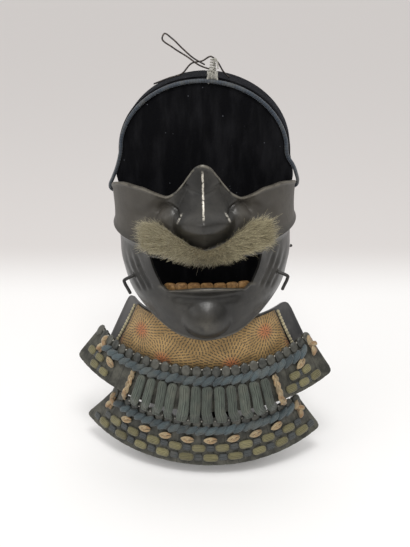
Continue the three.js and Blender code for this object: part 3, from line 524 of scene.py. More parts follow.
def blackVelvet():
    # cotton velvet over board: pile swallows the light, brushed cloudy in upright strokes, with pale lint
    material, tree, shader = startMaterial("black_cotton_velvet", Roughness=1.0, Specular_IOR_Level=0.1,
                                           Sheen_Weight=0.12, Sheen_Roughness=0.5)
    shader.inputs["Sheen Tint"].default_value = linearColour("#5a6070")
    place = objectPlace(tree)
    stretched = addNode(tree, "ShaderNodeVectorMath", {0: place, 1: (1.0, 1.0, 0.25)}, operation="MULTIPLY")
    strokes = noise(tree, stretched, 14, 4, 0.6)
    colour = blended(tree, spread(tree, strokes, 0.4, 0.72), "#08080a", "#1a1a1c")
    pile = noise(tree, place, 0.6, 3, 0.7)
    colour = blended(tree, spread(tree, pile, 0.55, 0.8, 0, 0.5), colour, "#1f2026")
    specks = addNode(tree, "ShaderNodeTexVoronoi", {"Vector": place, "Scale": 1000 / 7, "Randomness": 1.0},
                     "Distance")
    rare = noise(tree, place, 22, 2)
    lint = maths(tree, "MULTIPLY", spread(tree, specks, 0.035, 0.075, 1, 0), spread(tree, rare, 0.5, 0.6))
    colour = blended(tree, maths(tree, "MULTIPLY", lint, 0.8), colour, "#6d7076")
    paint(tree, shader, colour)
    raised(tree, shader, pile, 0.4, 0.8)
    return material


def ebonisedWood():
    # ebonised hardwood, polished: grain shows only as a change of gloss
    material, tree, shader = startMaterial("ebonised_polished_wood", Roughness=0.3, Coat_Weight=0.4,
                                           Coat_Roughness=0.15)
    place = objectPlace(tree)
    stretched = addNode(tree, "ShaderNodeVectorMath", {0: place, 1: (0.08, 1.0, 1.0)}, operation="MULTIPLY")
    grain = noise(tree, stretched, 1.4, 4, 0.6, 0.4)
    paint(tree, shader, blended(tree, grain, "#0e0d0c", "#241f1b"))
    raised(tree, shader, grain, 0.08, 0.5)
    return material


def brownedWire():
    # drawn steel wire gone brown
    material, tree, shader = startMaterial("browned_drawn_wire", Metallic=0.8, Roughness=0.45)
    rust = noise(tree, objectPlace(tree), 2.0, 4, 0.7)
    paint(tree, shader, blended(tree, spread(tree, rust, 0.4, 0.65), "#2b2a2c", "#5a5049"))
    raised(tree, shader, rust, 0.05, 0.5)
    return material


def tarnishedPin():
    # tiny silvered pin head, tarnished
    material, tree, shader = startMaterial("tarnished_silver_pin", Metallic=0.9, Roughness=0.28)
    tarnish = noise(tree, objectPlace(tree), 1.2, 2)
    paint(tree, shader, blended(tree, spread(tree, tarnish, 0.35, 0.7), "#6f6d68", "#c9c6bd"))
    return material


iron = wornLacqueredIron("worn_lacquered_iron")
plainIron = wornLacqueredIron("forged_iron_hook", worn=False)
blueSilk = silk("slate_blue_silk_rope", "#4c5a5e", "#141a1c")
bandSilk = silk("grey_green_silk_lacing", "#545c52", "#141814", thread=1.15)
creamSilk = silk("cream_silk_braid", "#bfa982", "#43321f", stain="#8f6a45")
oliveSilk = silk("olive_silk_pad", "#7f7852", "#33321f", thread=1.3)
quiltSilk = silk("faded_blue_silk_ground", "#45494a", "#1e2221", thread=1.6)
edgeSilk = silk("pale_silk_edge_stitch", "#c2b793", "#6c6246", thread=1.0)
tieSilk = silk("navy_silk_flat_braid", "#34414f", "#0c1017", thread=0.9, crossing=2.4)
twineCotton = silk("undyed_cotton_twine", "#b9b6ac", "#57564f", thread=0.7)
print("finishes made")


# ---- the iron face

mask = {
    "levels": {"z": [134, 155, 171, 186, 200, 219, 232, 250, 292],
               "halfWidth": [52, 61.5, 71, 75.5, 79, 81.6, 81.3, 82.3, 84.5],
               "rearY": [-27, -23, -20, -15, -10, -5, -3, -1, 1],
               "frontY": [-96, -99, -100, -100, -100.5, -98, -92, -85, -79]},
    "topEdge": {"angle": [-90, -70, -50, -39, -31, -22.6, -17, -12.1, -7.7, -3.5, 0, 3.5, 7.7, 12.1, 17, 24.8,
                          31, 39, 50, 70, 90],
                "z": [250, 260.5, 266, 265.8, 263.8, 261.3, 264.5, 271.4, 279.7, 287, 288.8, 287, 279.7, 271,
                      263.2, 258.3, 260.3, 263, 263, 257.6, 249.5]},
    "bottomEdge": {"angle": [0, 25, 45, 60, 75, 90], "z": [138, 141, 149, 156, 163.5, 176]},
    "nose": {"z": [222, 226, 231, 237, 245, 256, 263, 268, 292],
             "height": [0, 8, 20, 25, 21, 14, 10, 8, 7.5],
             "halfWidth": [22, 24, 25, 24.5, 21.5, 17, 14, 15, 24],
             "roundness": [1.5, 1.5, 1.4, 1.25, 1.15, 1.1, 1.1, 1.3, 1.5]},
    "noseSlant": 0.3,
    "mouthSides": {"z": [150, 180, 204, 216, 300], "angle": [31, 29.5, 34.7, 36, 36]},
    "mouthShare": 0.38, "mouthLean": 0.8, "mouthLow": (188.5, 6.5), "mouthHigh": (214, 3.2),
    "wall": 2.2, "sideColumns": 66, "mouthColumns": 96, "rows": (50, 12, 84),
}


def bowlPoint(angle, z):
    # a level's half ellipse: x = halfWidth sin, y = rear - (rear - front) cos
    levels = mask["levels"]
    halfWidth, rear, front = (readTable(levels, "z", key, z) for key in ("halfWidth", "rearY", "frontY"))
    turn = np.radians(angle)
    return np.stack([halfWidth * np.sin(turn), rear - (rear - front) * np.cos(turn), z + 0 * turn], -1)


def bowlNormal(angle, z):
    across = bowlPoint(angle + 0.5, z) - bowlPoint(angle - 0.5, z)
    up = bowlPoint(angle, z + 0.5) - bowlPoint(angle, z - 0.5)
    return unit(np.cross(across, up))


def faceRelief(x, z, angle):
    # heights over the bowl: nose, nostril wings, cheek rolls, eye hollows, cheek fold, wrinkles, lip and
    # chin boss
    side = np.abs(x)
    nose, level = mask["nose"], z - mask["noseSlant"] * side
    height = readTable(nose, "z", "height", level)
    halfWidth = readTable(nose, "z", "halfWidth", level)
    roundness = readTable(nose, "z", "roundness", level)
    relief = np.where(level > nose["z"][0], height * (1 - np.minimum(1, side / halfWidth) ** roundness), 0)
    relief += 2 * bell(side - 15, 4.5) * bell(z - 238, 5)
    relief -= 1.6 * bell(z - 264 - 0.5 * side, 2) * softStep((18 - side) / 5)
    fromRoll = np.hypot(side - 30, z - 244)
    relief += 3.8 * bell(fromRoll, 8.5) - 1.9 * bell(fromRoll - 10.5, 2) * softStep((z - 240) / 8)
    relief -= 0.9 * bell(fromRoll - 10.5, 0.9) * softStep((z - 242) / 5)
    along = np.clip(((side - 35) * 17 - (z - 254) * 12) / (17 * 17 + 12 * 12), 0, 1)
    relief -= 5 * bell(np.hypot(side - 35 - 17 * along, z - 254 + 12 * along), 6)
    below = 219 + 4 * (1 - np.sin(np.radians(np.minimum(90, np.abs(angle))))) - z
    fold = 1.6 * bell(below, 3) - 3.4 * softStep(below / 4) * (1 - softStep((below - 6) / 26))
    relief += fold * softStep((np.abs(angle) - 34) / 12)
    across = (side - 53.5) * 0.846 - (z - 192.5) * 0.533
    down = -(side - 53.5) * 0.533 - (z - 192.5) * 0.846
    stretch = softStep((down + 17) / 5) * softStep((16 - down) / 8)
    relief -= 1.7 * stretch * (bell(across, 1.8) + bell(across - 6, 1.8) + 0.6 * bell(across - 12, 2))
    relief += 2.2 * bell(z - 186, 3.2) * softStep((38 - side) / 8)
    relief -= 3 * bell(z - 179, 4.5) * softStep((34 - side) / 10)
    relief += 9 * np.maximum(0, 1 - np.hypot(x / 22, (z - 157) / 18) ** 2) ** 1.3
    return relief + 1.5 * bell(z - 216, 5) * softStep((44 - side) / 8)


def facePoint(angle, z, lift=0.0):
    # the bowl's point moved out along the bowl's normal by the relief
    point = bowlPoint(angle, z)
    relief = faceRelief(point[..., 0], z, angle) + lift
    return point + bowlNormal(angle, z) * relief[..., None]


def columnAngle(share, z):
    # columns follow the mouth's sloping sides, then spread evenly to the rear edges
    side = readTable(mask["mouthSides"], "z", "angle", z) + mask["mouthLean"] * np.sign(share)
    far, edge = np.abs(share), mask["mouthShare"]
    angle = np.where(far <= edge, far / edge * side, side + (far - edge) / (1 - edge) * (90 - side))
    return np.sign(share) * angle


def easedShares(count):
    # even shares with a sine's lean, so that rows crowd towards both edges
    share = np.linspace(0, 1, count + 1)
    return share - 0.09 * np.sin(2 * np.pi * share)


def faceGrid():
    edge, (jaw, gape, cheek) = mask["mouthShare"], mask["rows"]
    sides = np.linspace(-1, -edge, mask["sideColumns"] + 1)
    share = np.concatenate([sides, np.linspace(-edge, edge, mask["mouthColumns"] + 1)[1:-1], -sides[::-1]])
    toSide = np.minimum(1.25, np.abs(share) / edge)
    topZ = readTable(mask["topEdge"], "angle", "z", columnAngle(share, np.full_like(share, 260)))
    lowZ = readTable(mask["bottomEdge"], "angle", "z", np.abs(columnAngle(share, np.full_like(share, 150))))
    (lowMid, lowDrop), (highMid, highDrop) = mask["mouthLow"], mask["mouthHigh"]
    levels = [lowZ, lowMid - lowDrop * toSide ** 2 + 5 * softStep((toSide - 0.8) / 0.2),
              highMid - highDrop * toSide ** 2 + 12 * softStep((toSide - 1) * 4), topZ]
    bands = [levels[k][:, None] + (levels[k + 1] - levels[k])[:, None] * easedShares(count)[None]
             for k, count in enumerate((jaw, gape, cheek))]
    z = np.concatenate([bands[0], bands[1][:, 1:], bands[2][:, 1:]], axis=1)
    return share, z, levels


def makeFace():
    share, z, levels = faceGrid()
    lowZ, mouthLow, mouthHigh, topZ = (level[:, None] for level in levels)
    angle = columnAngle(share[:, None], z)
    fromTop, fromFoot = topZ - z, z - lowZ
    beside = softStep((mask["mouthShare"] + 0.05 - np.abs(share))[:, None] / 0.05)
    rimBead = 0.8 * bell(fromTop - 1.5, 1.3) + 0.7 * bell(fromFoot - 1.5, 1.4)
    lipBead = 0.5 * beside * (bell(z - mouthLow + 1.2, 1.2) + bell(mouthHigh - z + 1.2, 1.2))
    outer = facePoint(angle, z, rimBead + lipBead)
    inner = facePoint(angle, z, -mask["wall"])
    jaw, gape, _ = mask["rows"]
    keep = np.ones((len(share) - 1, z.shape[1] - 1), bool)
    keep[mask["sideColumns"]:mask["sideColumns"] + mask["mouthColumns"], jaw:jaw + gape] = False
    x = outer[..., 0]
    # worn rims and lower lip, partly painted highlight there, and painted highlights on the cheek rolls and chin
    # boss
    rub = 0.75 * bell(fromTop - 1.0, 1.1) + 0.45 * bell(fromFoot - 1.0, 1.2)
    rub += 0.35 * beside * bell(z - mouthLow + 0.6, 1.0)
    fromRoll = np.hypot(np.abs(x) - 30, z - 244)
    rub += 0.15 * bell(fromRoll, 5) + 0.25 * bell(np.hypot(x / 8, (z - 157) / 8), 1.0)
    upper = softStep((z - 214) / 14) * softStep((np.abs(angle) - 14) / 14)
    form = shell(outer, inner, keep, np.stack([x, z], -1), {"rub": np.minimum(rub, 1), "upper": upper})
    makePiece("lacquered_face", form, iron, ["face_plate"], onMask, sharp=50)


makeFace()
print("face made")

teeth = {"count": 7, "halfAngle": 31, "rootZ": 181.5, "tipZ": 190.9, "endDrop": 3.4, "setBack": 4.4,
         "thickness": 1.8, "columnsEach": 14, "rows": 8}


def makeTeeth():
    # a curved strip: its top edge is a row of rounded squares, swelling forward in the middle of each tooth
    columns = teeth["count"] * teeth["columnsEach"]
    share = np.linspace(-1, 1, columns + 1)
    inTooth = np.abs(np.mod((share + 1) / 2 * teeth["count"], 1) * 2 - 1)
    tooth = np.minimum(((share + 1) / 2 * teeth["count"]).astype(int), teeth["count"] - 1)
    size = 1 + 0.1 * np.sin(7.3 * np.arange(teeth["count"]))[tooth]
    top = 1 - 0.2 * inTooth ** 5
    tall = (teeth["tipZ"] - teeth["rootZ"]) * top * (0.95 + 0.5 * (size - 1))
    rise = np.linspace(0, 1, teeth["rows"] + 1)
    z = teeth["rootZ"] - teeth["endDrop"] * share[:, None] ** 2 + tall[:, None] * rise[None]
    angle = np.broadcast_to((teeth["halfAngle"] * share + mask["mouthLean"])[:, None], z.shape)
    swell = 0.9 * (1 - inTooth[:, None] ** 4) * np.sin(np.pi * np.minimum(1, 0.25 + rise[None]) * 0.8)
    normal = bowlNormal(angle, z)
    point = bowlPoint(angle, z)
    outer = point - normal * (teeth["setBack"] - swell)[..., None]
    inner = point - normal * (teeth["setBack"] + teeth["thickness"])
    gap = np.maximum(0.8 * bell(1 - inTooth, 0.07)[:, None] + 0 * z, 0.6 * bell(rise[None] + 0 * z, 0.3))
    form = shell(outer, inner, None, np.stack([point[..., 0], z], -1), {"gap": gap})
    makePiece("lower_teeth", form, ochreToothLacquer(), ["teeth"], onMask, sharp=60)


makeTeeth()

moustache = {
    "outline": {"x": [0, 12, 24, 38, 49, 56, 60], "low": [211, 212, 213.5, 214.5, 214.5, 217.5, 221],
                "high": [222.5, 226.5, 234, 241.5, 239.5, 232, 226], "stand": [9, 10.5, 11.5, 11, 8, 4, 1.5]},
    "shift": 1.5, "strandsEachSide": 5200, "wispsEachSide": 110, "strandRadius": 0.13, "seed": 7,
}


def lipPoint(x, share, lift):
    # a place on the lip: x across, share from the lower outline to the upper one
    outline = moustache["outline"]
    low, high = (readTable(outline, "x", key, np.abs(x)) for key in ("low", "high"))
    z = low + (high - low) * share
    halfWidth = readTable(mask["levels"], "z", "halfWidth", z)
    angle = np.degrees(np.arcsin(np.clip((x + moustache["shift"]) / halfWidth, -1, 1)))
    return facePoint(angle, z, lift), bowlNormal(angle, z)


def makeMoustache():
    random = np.random.default_rng(moustache["seed"])
    undercoat, bristle = hairUndercoat(), agedHair()
    outline = moustache["outline"]
    for side, label in ((-1, "left"), (1, "right")):
        count = moustache["strandsEachSide"]
        x = side * 52 * random.beta(1.05, 1.15, count)
        share = random.uniform(0.12, 0.86, count)
        stand = readTable(outline, "x", "stand", np.abs(x))
        high, low = (readTable(outline, "x", key, np.abs(x)) for key in ("high", "low"))
        root, normal = lipPoint(x, share, np.full(count, 0.2))
        tall = high - low
        out = side * softStep(np.abs(x) / 14)
        lateral = out * random.uniform(0.5, 6.5, count) + random.normal(0, 2.0, count)
        rise = (share - 0.5) * tall * random.uniform(0.0, 0.5, count) + random.normal(0, 1.5, count)
        rise += softStep((np.abs(x) - 16) / 18) * 2.2 - 1.2
        rise -= 1.2 * bell(x, 9)
        depth = stand * np.sin(np.pi * (0.15 + 0.7 * share)) * random.uniform(0.3, 0.95, count)
        wisps = np.arange(count) < moustache["wispsEachSide"]
        lateral = np.where(wisps, lateral * 1.5 + out * 2.0, lateral)
        rise = np.where(wisps, rise * 1.3 + random.normal(1.5, 2.6, count), rise)
        x1 = np.stack([lateral, 0 * x, rise], -1)
        tip = root + normal * depth[:, None] + x1
        bend = root + normal * (depth * 0.85)[:, None] + x1 * 0.3
        s = np.linspace(0, 1, 5)[None, :, None]
        centres = root[:, None] * (1 - s) ** 2 + bend[:, None] * 2 * s * (1 - s) + tip[:, None] * s ** 2
        centres = centres + random.normal(0, 0.16, centres.shape) * s
        along = unit(np.gradient(centres, axis=1))
        across = unit(np.cross(along, np.array([0.0, 1.0, 0.15])))
        radius = moustache["strandRadius"] * (1.0 - 0.65 * s[..., 0]) * random.uniform(0.7, 1.25, (count, 1))
        tone = np.clip(random.normal(0.55, 0.3, count) - 0.45 * bell(x, 13), 0, 1)
        form = tubes(centres, across, np.cross(across, along), radius, radius, sides=3, tone=tone)
        each = 5 * 3 + 2
        stations = np.concatenate([np.repeat(np.linspace(0, 1, 5), 3), [0, 1]])
        form["marks"]["along"] = np.tile(stations, count)
        form["marks"]["tone"] = np.repeat(tone, each)
        del form["cornerUv"]
        makePiece(f"moustache_{label}", form, bristle, ["moustache"], onMask)
    share, x = np.linspace(0.14, 0.84, 25)[None], np.linspace(-52, 52, 91)[:, None]
    x, share = x + 0 * share, share + 0 * x
    crown = np.sin(np.pi * np.clip(share, 0, 1)) ** 0.6
    lumpy = 0.6 * np.sin(x * 1.7 + 3 * np.sin(share * 9)) * crown
    stand = readTable(outline, "x", "stand", np.abs(x)) * 0.5
    outer, _ = lipPoint(x, share, 0.6 + stand * crown + lumpy)
    inner, _ = lipPoint(x, share, 0.25 + 0 * x)
    makePiece("moustache_roots", shell(outer, inner), undercoat, ["moustache"], onMask)


makeMoustache()
print("moustache made")

hook = {"rootAngle": 56, "rootZ": 186, "radius": 1.45, "elbow": (71.8, 182.5), "tip": (66.2, 169.5), "bend": 3.0}


def ironRod(points, radius, stations, sides=12):
    # a round rod along a smooth line, its ends rounded over by drawing the last rings in
    centres = smoothLine(points, stations)
    length = np.concatenate([[0], np.cumsum(np.linalg.norm(np.diff(centres, axis=0), axis=1))])
    fromEnd = np.minimum(length, length[-1] - length)
    taper = np.sqrt(np.clip(1 - (1 - np.minimum(1, fromEnd / radius + 0.25)) ** 2, 0.05, 1))
    along = unit(np.gradient(centres, axis=0))
    lead = np.array([0.05, 1.0, 0.1]) if abs(along[0, 1]) < 0.8 else np.array([1.0, 0.0, 0.1])
    across = unit(np.cross(along, lead))
    return tubes(centres[None], across[None], np.cross(across, along)[None], radius * taper, radius * taper,
                 sides=sides, around=2 * np.pi * radius)


def rivet(point, normal, radius, height):
    # a low dome: rings of a quarter ellipse carried along the normal
    t = np.linspace(0, 1, 7)
    centres = point + normal * (height * t)[:, None]
    across = unit(np.cross(normal, np.array([0.0, 0.3, 1.0])))
    size = radius * np.sqrt(np.clip(1 - t ** 2.2, 0.004, 1))
    frameAcross = np.broadcast_to(across, centres.shape)
    return tubes(centres[None], frameAcross[None], np.cross(frameAcross, normal)[None], size, size, sides=14)


def makeHooks():
    (elbowX, elbowZ), (tipX, tipZ) = hook["elbow"], hook["tip"]
    for side, label in ((-1, "left"), (1, "right")):
        angle, z = np.array(float(side * hook["rootAngle"])), np.array(float(hook["rootZ"]))
        root = facePoint(angle, z, 0.4)
        y = facePoint(angle, z, 1.35)[1] - 2
        elbow, tip = np.array([side * elbowX, y, elbowZ]), np.array([side * tipX, y, tipZ])
        before = elbow + unit(root - elbow) * hook["bend"]
        after = elbow + unit(tip - elbow) * hook["bend"]
        corner = (before + after) / 2 * 0.35 + elbow * 0.65
        line = [root, root * 0.5 + before * 0.5, before, corner, after, after * 0.5 + tip * 0.5, tip]
        normal = bowlNormal(angle, z)
        washer = rivet(root, normal, 2.9, 0.9)
        form = joined([ironRod(line, hook["radius"], 34), washer])
        makePiece(f"tying_hook_{label}", form, plainIron, [f"cord_hook_{label}"], onMask)
    angle, z = np.array(84.0), np.array(194.0)
    makePiece("cheek_rivet", rivet(facePoint(angle, z, 0.35), bowlNormal(angle, z), 1.5, 2.2), plainIron,
              ["cheek_peg"], onMask)


makeHooks()
print("hooks made")


# ---- the throat guard

edges = {
    "collarTop": {"radius": 66, "centreY": -17, "sweep": 88, "flare": 7, "z": (150, 146, 146)},
    "collarBottom": {"radius": 108, "centreY": 28, "sweep": 60, "flare": 0, "z": (96, 101, 108)},
    "upperTop": {"radius": 115, "centreY": 29, "sweep": 57.5, "flare": 0, "z": (106, 113, 127)},
    "upperBottom": {"radius": 158, "centreY": 64, "sweep": 49.5, "flare": 0, "z": (66, 83.5, 86)},
    "lowerTop": {"radius": 117, "centreY": 25, "sweep": 49, "flare": 0, "z": (58, 67, 66)},
    "lowerBottom": {"radius": 152, "centreY": 54, "sweep": 47, "flare": 0, "z": (12, 25.5, 32.5)},
}
strips = {  # edges, and the shares of them that each strip reaches at its left and right end, top and bottom
    "collar": ("collarTop", "collarBottom", (1, 1), (0.97, 0.97)),
    "hide": ("collarTop", "collarBottom", (0.72, 0.84), (0.7, 0.78)),
    "upper": ("upperTop", "upperBottom", (1.06, 1.045), (0.91, 0.96)),
    "lower": ("lowerTop", "lowerBottom", (0.92, 1.055), (0.94, 0.96)),
}
boardHalf, gap = 1.2, 0.35


def edgePoint(name, u):
    # an arc in plan whose height goes from the front's to an end's with u squared; a flare adds u to the fifth
    edge = edges[name]
    turn = np.radians(u * edge["sweep"])
    front, left, right = edge["z"]
    endZ = np.where(u < 0, left, right)
    return np.stack([edge["radius"] * np.sin(turn) + edge["flare"] * u ** 5,
                     edge["centreY"] - edge["radius"] * np.cos(turn), front + (endZ - front) * u ** 2], -1)


def flatPoint(strip, u, v):
    top, bottom = edgePoint(strips[strip][0], u), edgePoint(strips[strip][1], u)
    return top + (bottom - top) * np.asarray(v)[..., None]


def stripFrame(strip, u, v, lift=0.0):
    # a point on a strip and its three directions: across to the right, up, and out
    u, v = np.broadcast_arrays(np.asarray(u, float), np.asarray(v, float))
    across = unit(flatPoint(strip, u + 0.01, v) - flatPoint(strip, u - 0.01, v))
    up = flatPoint(strip, u, v - 0.01) - flatPoint(strip, u, v + 0.01)
    out = unit(np.cross(across, up))
    point = flatPoint(strip, u, v) + out * np.broadcast_to(lift, u.shape)[..., None]
    return point, across, np.cross(out, across), out


def endOf(strip, side, v):
    top, bottom = strips[strip][2] if side < 0 else strips[strip][3]
    return side * (top + (bottom - top) * v)


def cornerTrim(share, start, depth):
    past = np.maximum(0, (np.abs(share) - start) / (1 - start))
    return depth * (1 - np.sqrt(np.maximum(0, 1 - past ** 2)))


def stripSpan(strip, share, v):
    # u at a share (-1 to 1) of the strip's reach at that height
    left, right = np.abs(endOf(strip, -1, v)), endOf(strip, 1, v)
    return np.where(share < 0, share * left, share * right)


def surfaceMm(strip, u, v):
    # millimetres across (from the middle) and down (from the top edge) at u, v
    width = [np.radians(edges[name]["sweep"]) * edges[name]["radius"] for name in strips[strip][:2]]
    height = np.linalg.norm(flatPoint(strip, np.zeros(1), np.ones(1)) - flatPoint(strip, np.zeros(1), np.zeros(1)))
    return np.stack([u * (width[0] + width[1]) / 2, v * height], -1)


def stripForm(strip, columns, rows, lifts, vTop, vBottom, marks=None):
    # a curved board or sheet: columns of even share from end to end, rows from the bottom edge to the top one
    share = np.linspace(-1, 1, columns + 1)[:, None]
    rise = np.linspace(0, 1, rows + 1)[None]
    v = vBottom(share) + (vTop(share) - vBottom(share)) * rise
    u = stripSpan(strip, share + 0 * v, v)
    outer = stripFrame(strip, u, v, lifts[0](u, v, share))[0]
    inner = stripFrame(strip, u, v, lifts[1])[0]
    found = {name: mark(u, v, share) for name, mark in (marks or {}).items()}
    return shell(outer, inner, None, surfaceMm(strip, u, v), found)


def lumps(place, length, halfWidth, halfHeight, leanDeg=0.0, bow=0.0, sway=0.0, rise=0.0, stations=8, sides=8,
          blunt=2.4, square=1.0, tone=None):
    # pillow or leaf forms lying on a strip: a centre line at a lean, bowed by (1 - a^2) and swayed by sin, with
    # half width and height shrinking as the square root of (1 - |a|^blunt) towards both ends
    point, across, up, out = place
    count = len(point)
    full = lambda value: np.broadcast_to(np.asarray(value, float), (count,))[:, None]
    lean = np.radians(full(leanDeg))
    along = across * np.cos(lean) + up * np.sin(lean)
    side = up * np.cos(lean) - across * np.sin(lean)
    a = np.sin(np.linspace(-1, 1, stations) * np.pi / 2 * 0.97)[None]
    offset = full(bow) * (1 - a ** 2) + full(sway) * np.sin(np.pi * a)
    centres = (point[:, None] + along[:, None] * (full(length) / 2 * a)[..., None]
               + side[:, None] * offset[..., None] + out[:, None] * (full(rise) * (1 - a ** 2))[..., None])
    taper = np.sqrt(np.maximum(1 - np.abs(a) ** blunt, 0.004))
    line = unit(np.gradient(centres, axis=1))
    outs = np.broadcast_to(out[:, None], centres.shape)
    sideways = unit(np.cross(outs, line))
    return tubes(centres, sideways, outs, full(halfWidth) * taper, full(halfHeight) * taper, sides=sides,
                 square=square, around=2.2 * np.pi * float(np.mean(halfWidth)), tone=tone)


def ridge(strip, u, v, halfWidth, halfHeight, lift, sides=10, tone=0.5):
    # a flattened roll lying along a row of a strip
    point, across, up, out = stripFrame(strip, u, v, lift)
    return tubes(point[None], up[None], out[None], halfWidth, halfHeight, sides=sides,
                 around=4.4 * float(np.mean(halfWidth)), tone=np.array([tone]))


random = np.random.default_rng(23)
guardRows = {
    "rope": {"lean": 42, "pitch": 8.4, "length": 14.0, "halfWidth": 3.1, "halfHeight": 2.6,
             "upper": (-0.84, 0.8, 0.285, 0.02), "lower": (-0.8, 0.8, 0.25, 0.07)},
    "heads": {"upper": 26, "lower": 22, "width": 4.05, "height": 5.2, "dome": 1.9},
    "lacing": {"bands": 14, "topShare": 0.56, "bottomShare": 0.82, "width": 9.7, "thickness": 3.2},
    "knots": {"count": 8, "firstU": -0.665, "pitchU": 0.184, "v": 0.455, "rise": 0.07},
}


def rowV(height, rise, u):
    return height - rise * np.maximum(0, u)


def mmToU(strip, length, v=0.3):
    widths = [np.radians(edges[name]["sweep"]) * edges[name]["radius"] for name in strips[strip][:2]]
    return length / (widths[0] + (widths[1] - widths[0]) * v)


def makeCollar():
    ripple = lambda u, v, share: 1 + 0.35 * bell(np.abs(share) - 0.985, 0.02) + 0.3 * bell(v - 0.03, 0.04)
    form = stripForm("collar", 120, 28, (ripple, -1.0), lambda share: cornerTrim(share, 0.88, 0.2),
                     lambda share: 1 + 0 * share)
    makePiece("collar_plate_lacquered", form, blackPlateLacquer(), ["collar_plate"], onGuard,
              sharp=50)


hideSpec = {"lift": 1.6, "thickness": 1.0, "columns": 130, "rows": 44,
            "rosettes": [(-62, 22), (-36, 44), (24, 44), (58, 18), (-4, 6), (86, 40), (-92, 44)]}


def makeHide():
    lift = lambda u, v, share: (hideSpec["lift"] + hideSpec["thickness"] + 0.25 * np.sin(u * 31 + v * 7)
                                * softStep((1 - np.abs(share)) * 9) + 0.2 * bell(np.abs(share) - 0.97, 0.02))
    # painted shade along the bottom edge beside the board, the top edge under the chin and both ends
    soil = lambda u, v, share: np.clip(0.8 * bell(v - 0.95, 0.1) + 0.55 * bell(1 - np.abs(share), 0.03)
                                       + 0.3 * bell(v - 0.03, 0.08), 0, 0.85)
    form = stripForm("hide", hideSpec["columns"], hideSpec["rows"], (lift, hideSpec["lift"]),
                     lambda share: 0.03 + 0 * share, lambda share: 0.94 + 0 * share, {"soil": soil})
    hide = makePiece("stencilled_hide", form, smokedPrintedHide(hideSpec["rosettes"]),
                     ["printed_hide"], onGuard, sharp=60)
    for side, label in ((-1, "left"), (1, "right")):
        v = np.linspace(0.09, 0.93, 13)
        u = endOf("hide", side, v) + side * 0.03
        place = stripFrame("hide", u, v, hideSpec["lift"] + 1.2)
        ahead = stripFrame("hide", endOf("hide", side, v + 0.02) + side * 0.03, v + 0.02, 0)[0]
        behind = stripFrame("hide", endOf("hide", side, v - 0.02) + side * 0.03, v - 0.02, 0)[0]
        run = ahead - behind
        lean = np.degrees(np.arctan2((run * place[2]).sum(-1), (run * place[1]).sum(-1)))
        stitches = lumps(place, 3.7, 1.75, 1.35, lean, stations=6, sides=8, tone=random.uniform(0.3, 1, len(v)))
        cordV = np.linspace(0.07, 0.95, 30)
        # a flat cord under the stitches, darkened to tone 0: painted shade between them
        cordLine = stripFrame("hide", endOf("hide", side, cordV) + side * 0.03, cordV, hideSpec["lift"] + 0.55)
        shadeCore = tubes(cordLine[0][None], cordLine[1][None], cordLine[3][None], 1.2, 0.5, sides=8,
                     tone=np.array([0.0]))
        makePiece(f"hide_edge_stitches_{label}", joined([stitches, shadeCore]), edgeSilk,
                  [f"hide_edging_{label}"], onGuard)
    return hide


def makeBoards():
    for name in ("upper", "lower"):
        heads = guardRows["heads"][name]
        pitch = 2 * surfaceMm(name, np.array([1.0]), np.array([0.5]))[0, 0] / heads
        def wave(u, v, share, heads=heads):
            inScale = np.abs(np.mod((share + 1) / 2 * heads, 1) - 0.5) * 2
            return boardHalf + 0.25 - 0.5 * inScale ** 6 + 0.35 * bell(v - 0.985, 0.03)
        top = lambda share, heads=heads: 0.05 * np.abs(np.mod((share + 1) / 2 * heads, 1) * 2 - 1) ** 2.5
        form = stripForm(name, heads * 10, 26, (wave, -boardHalf), top,
                         lambda share: 1 - cornerTrim(share, 0.955, 0.12))
        makePiece(f"{name}_scale_board", form, boardLacquer(f"crazed_{name}_board_lacquer", pitch),
                  [f"{name}_board"], onGuard, sharp=50)


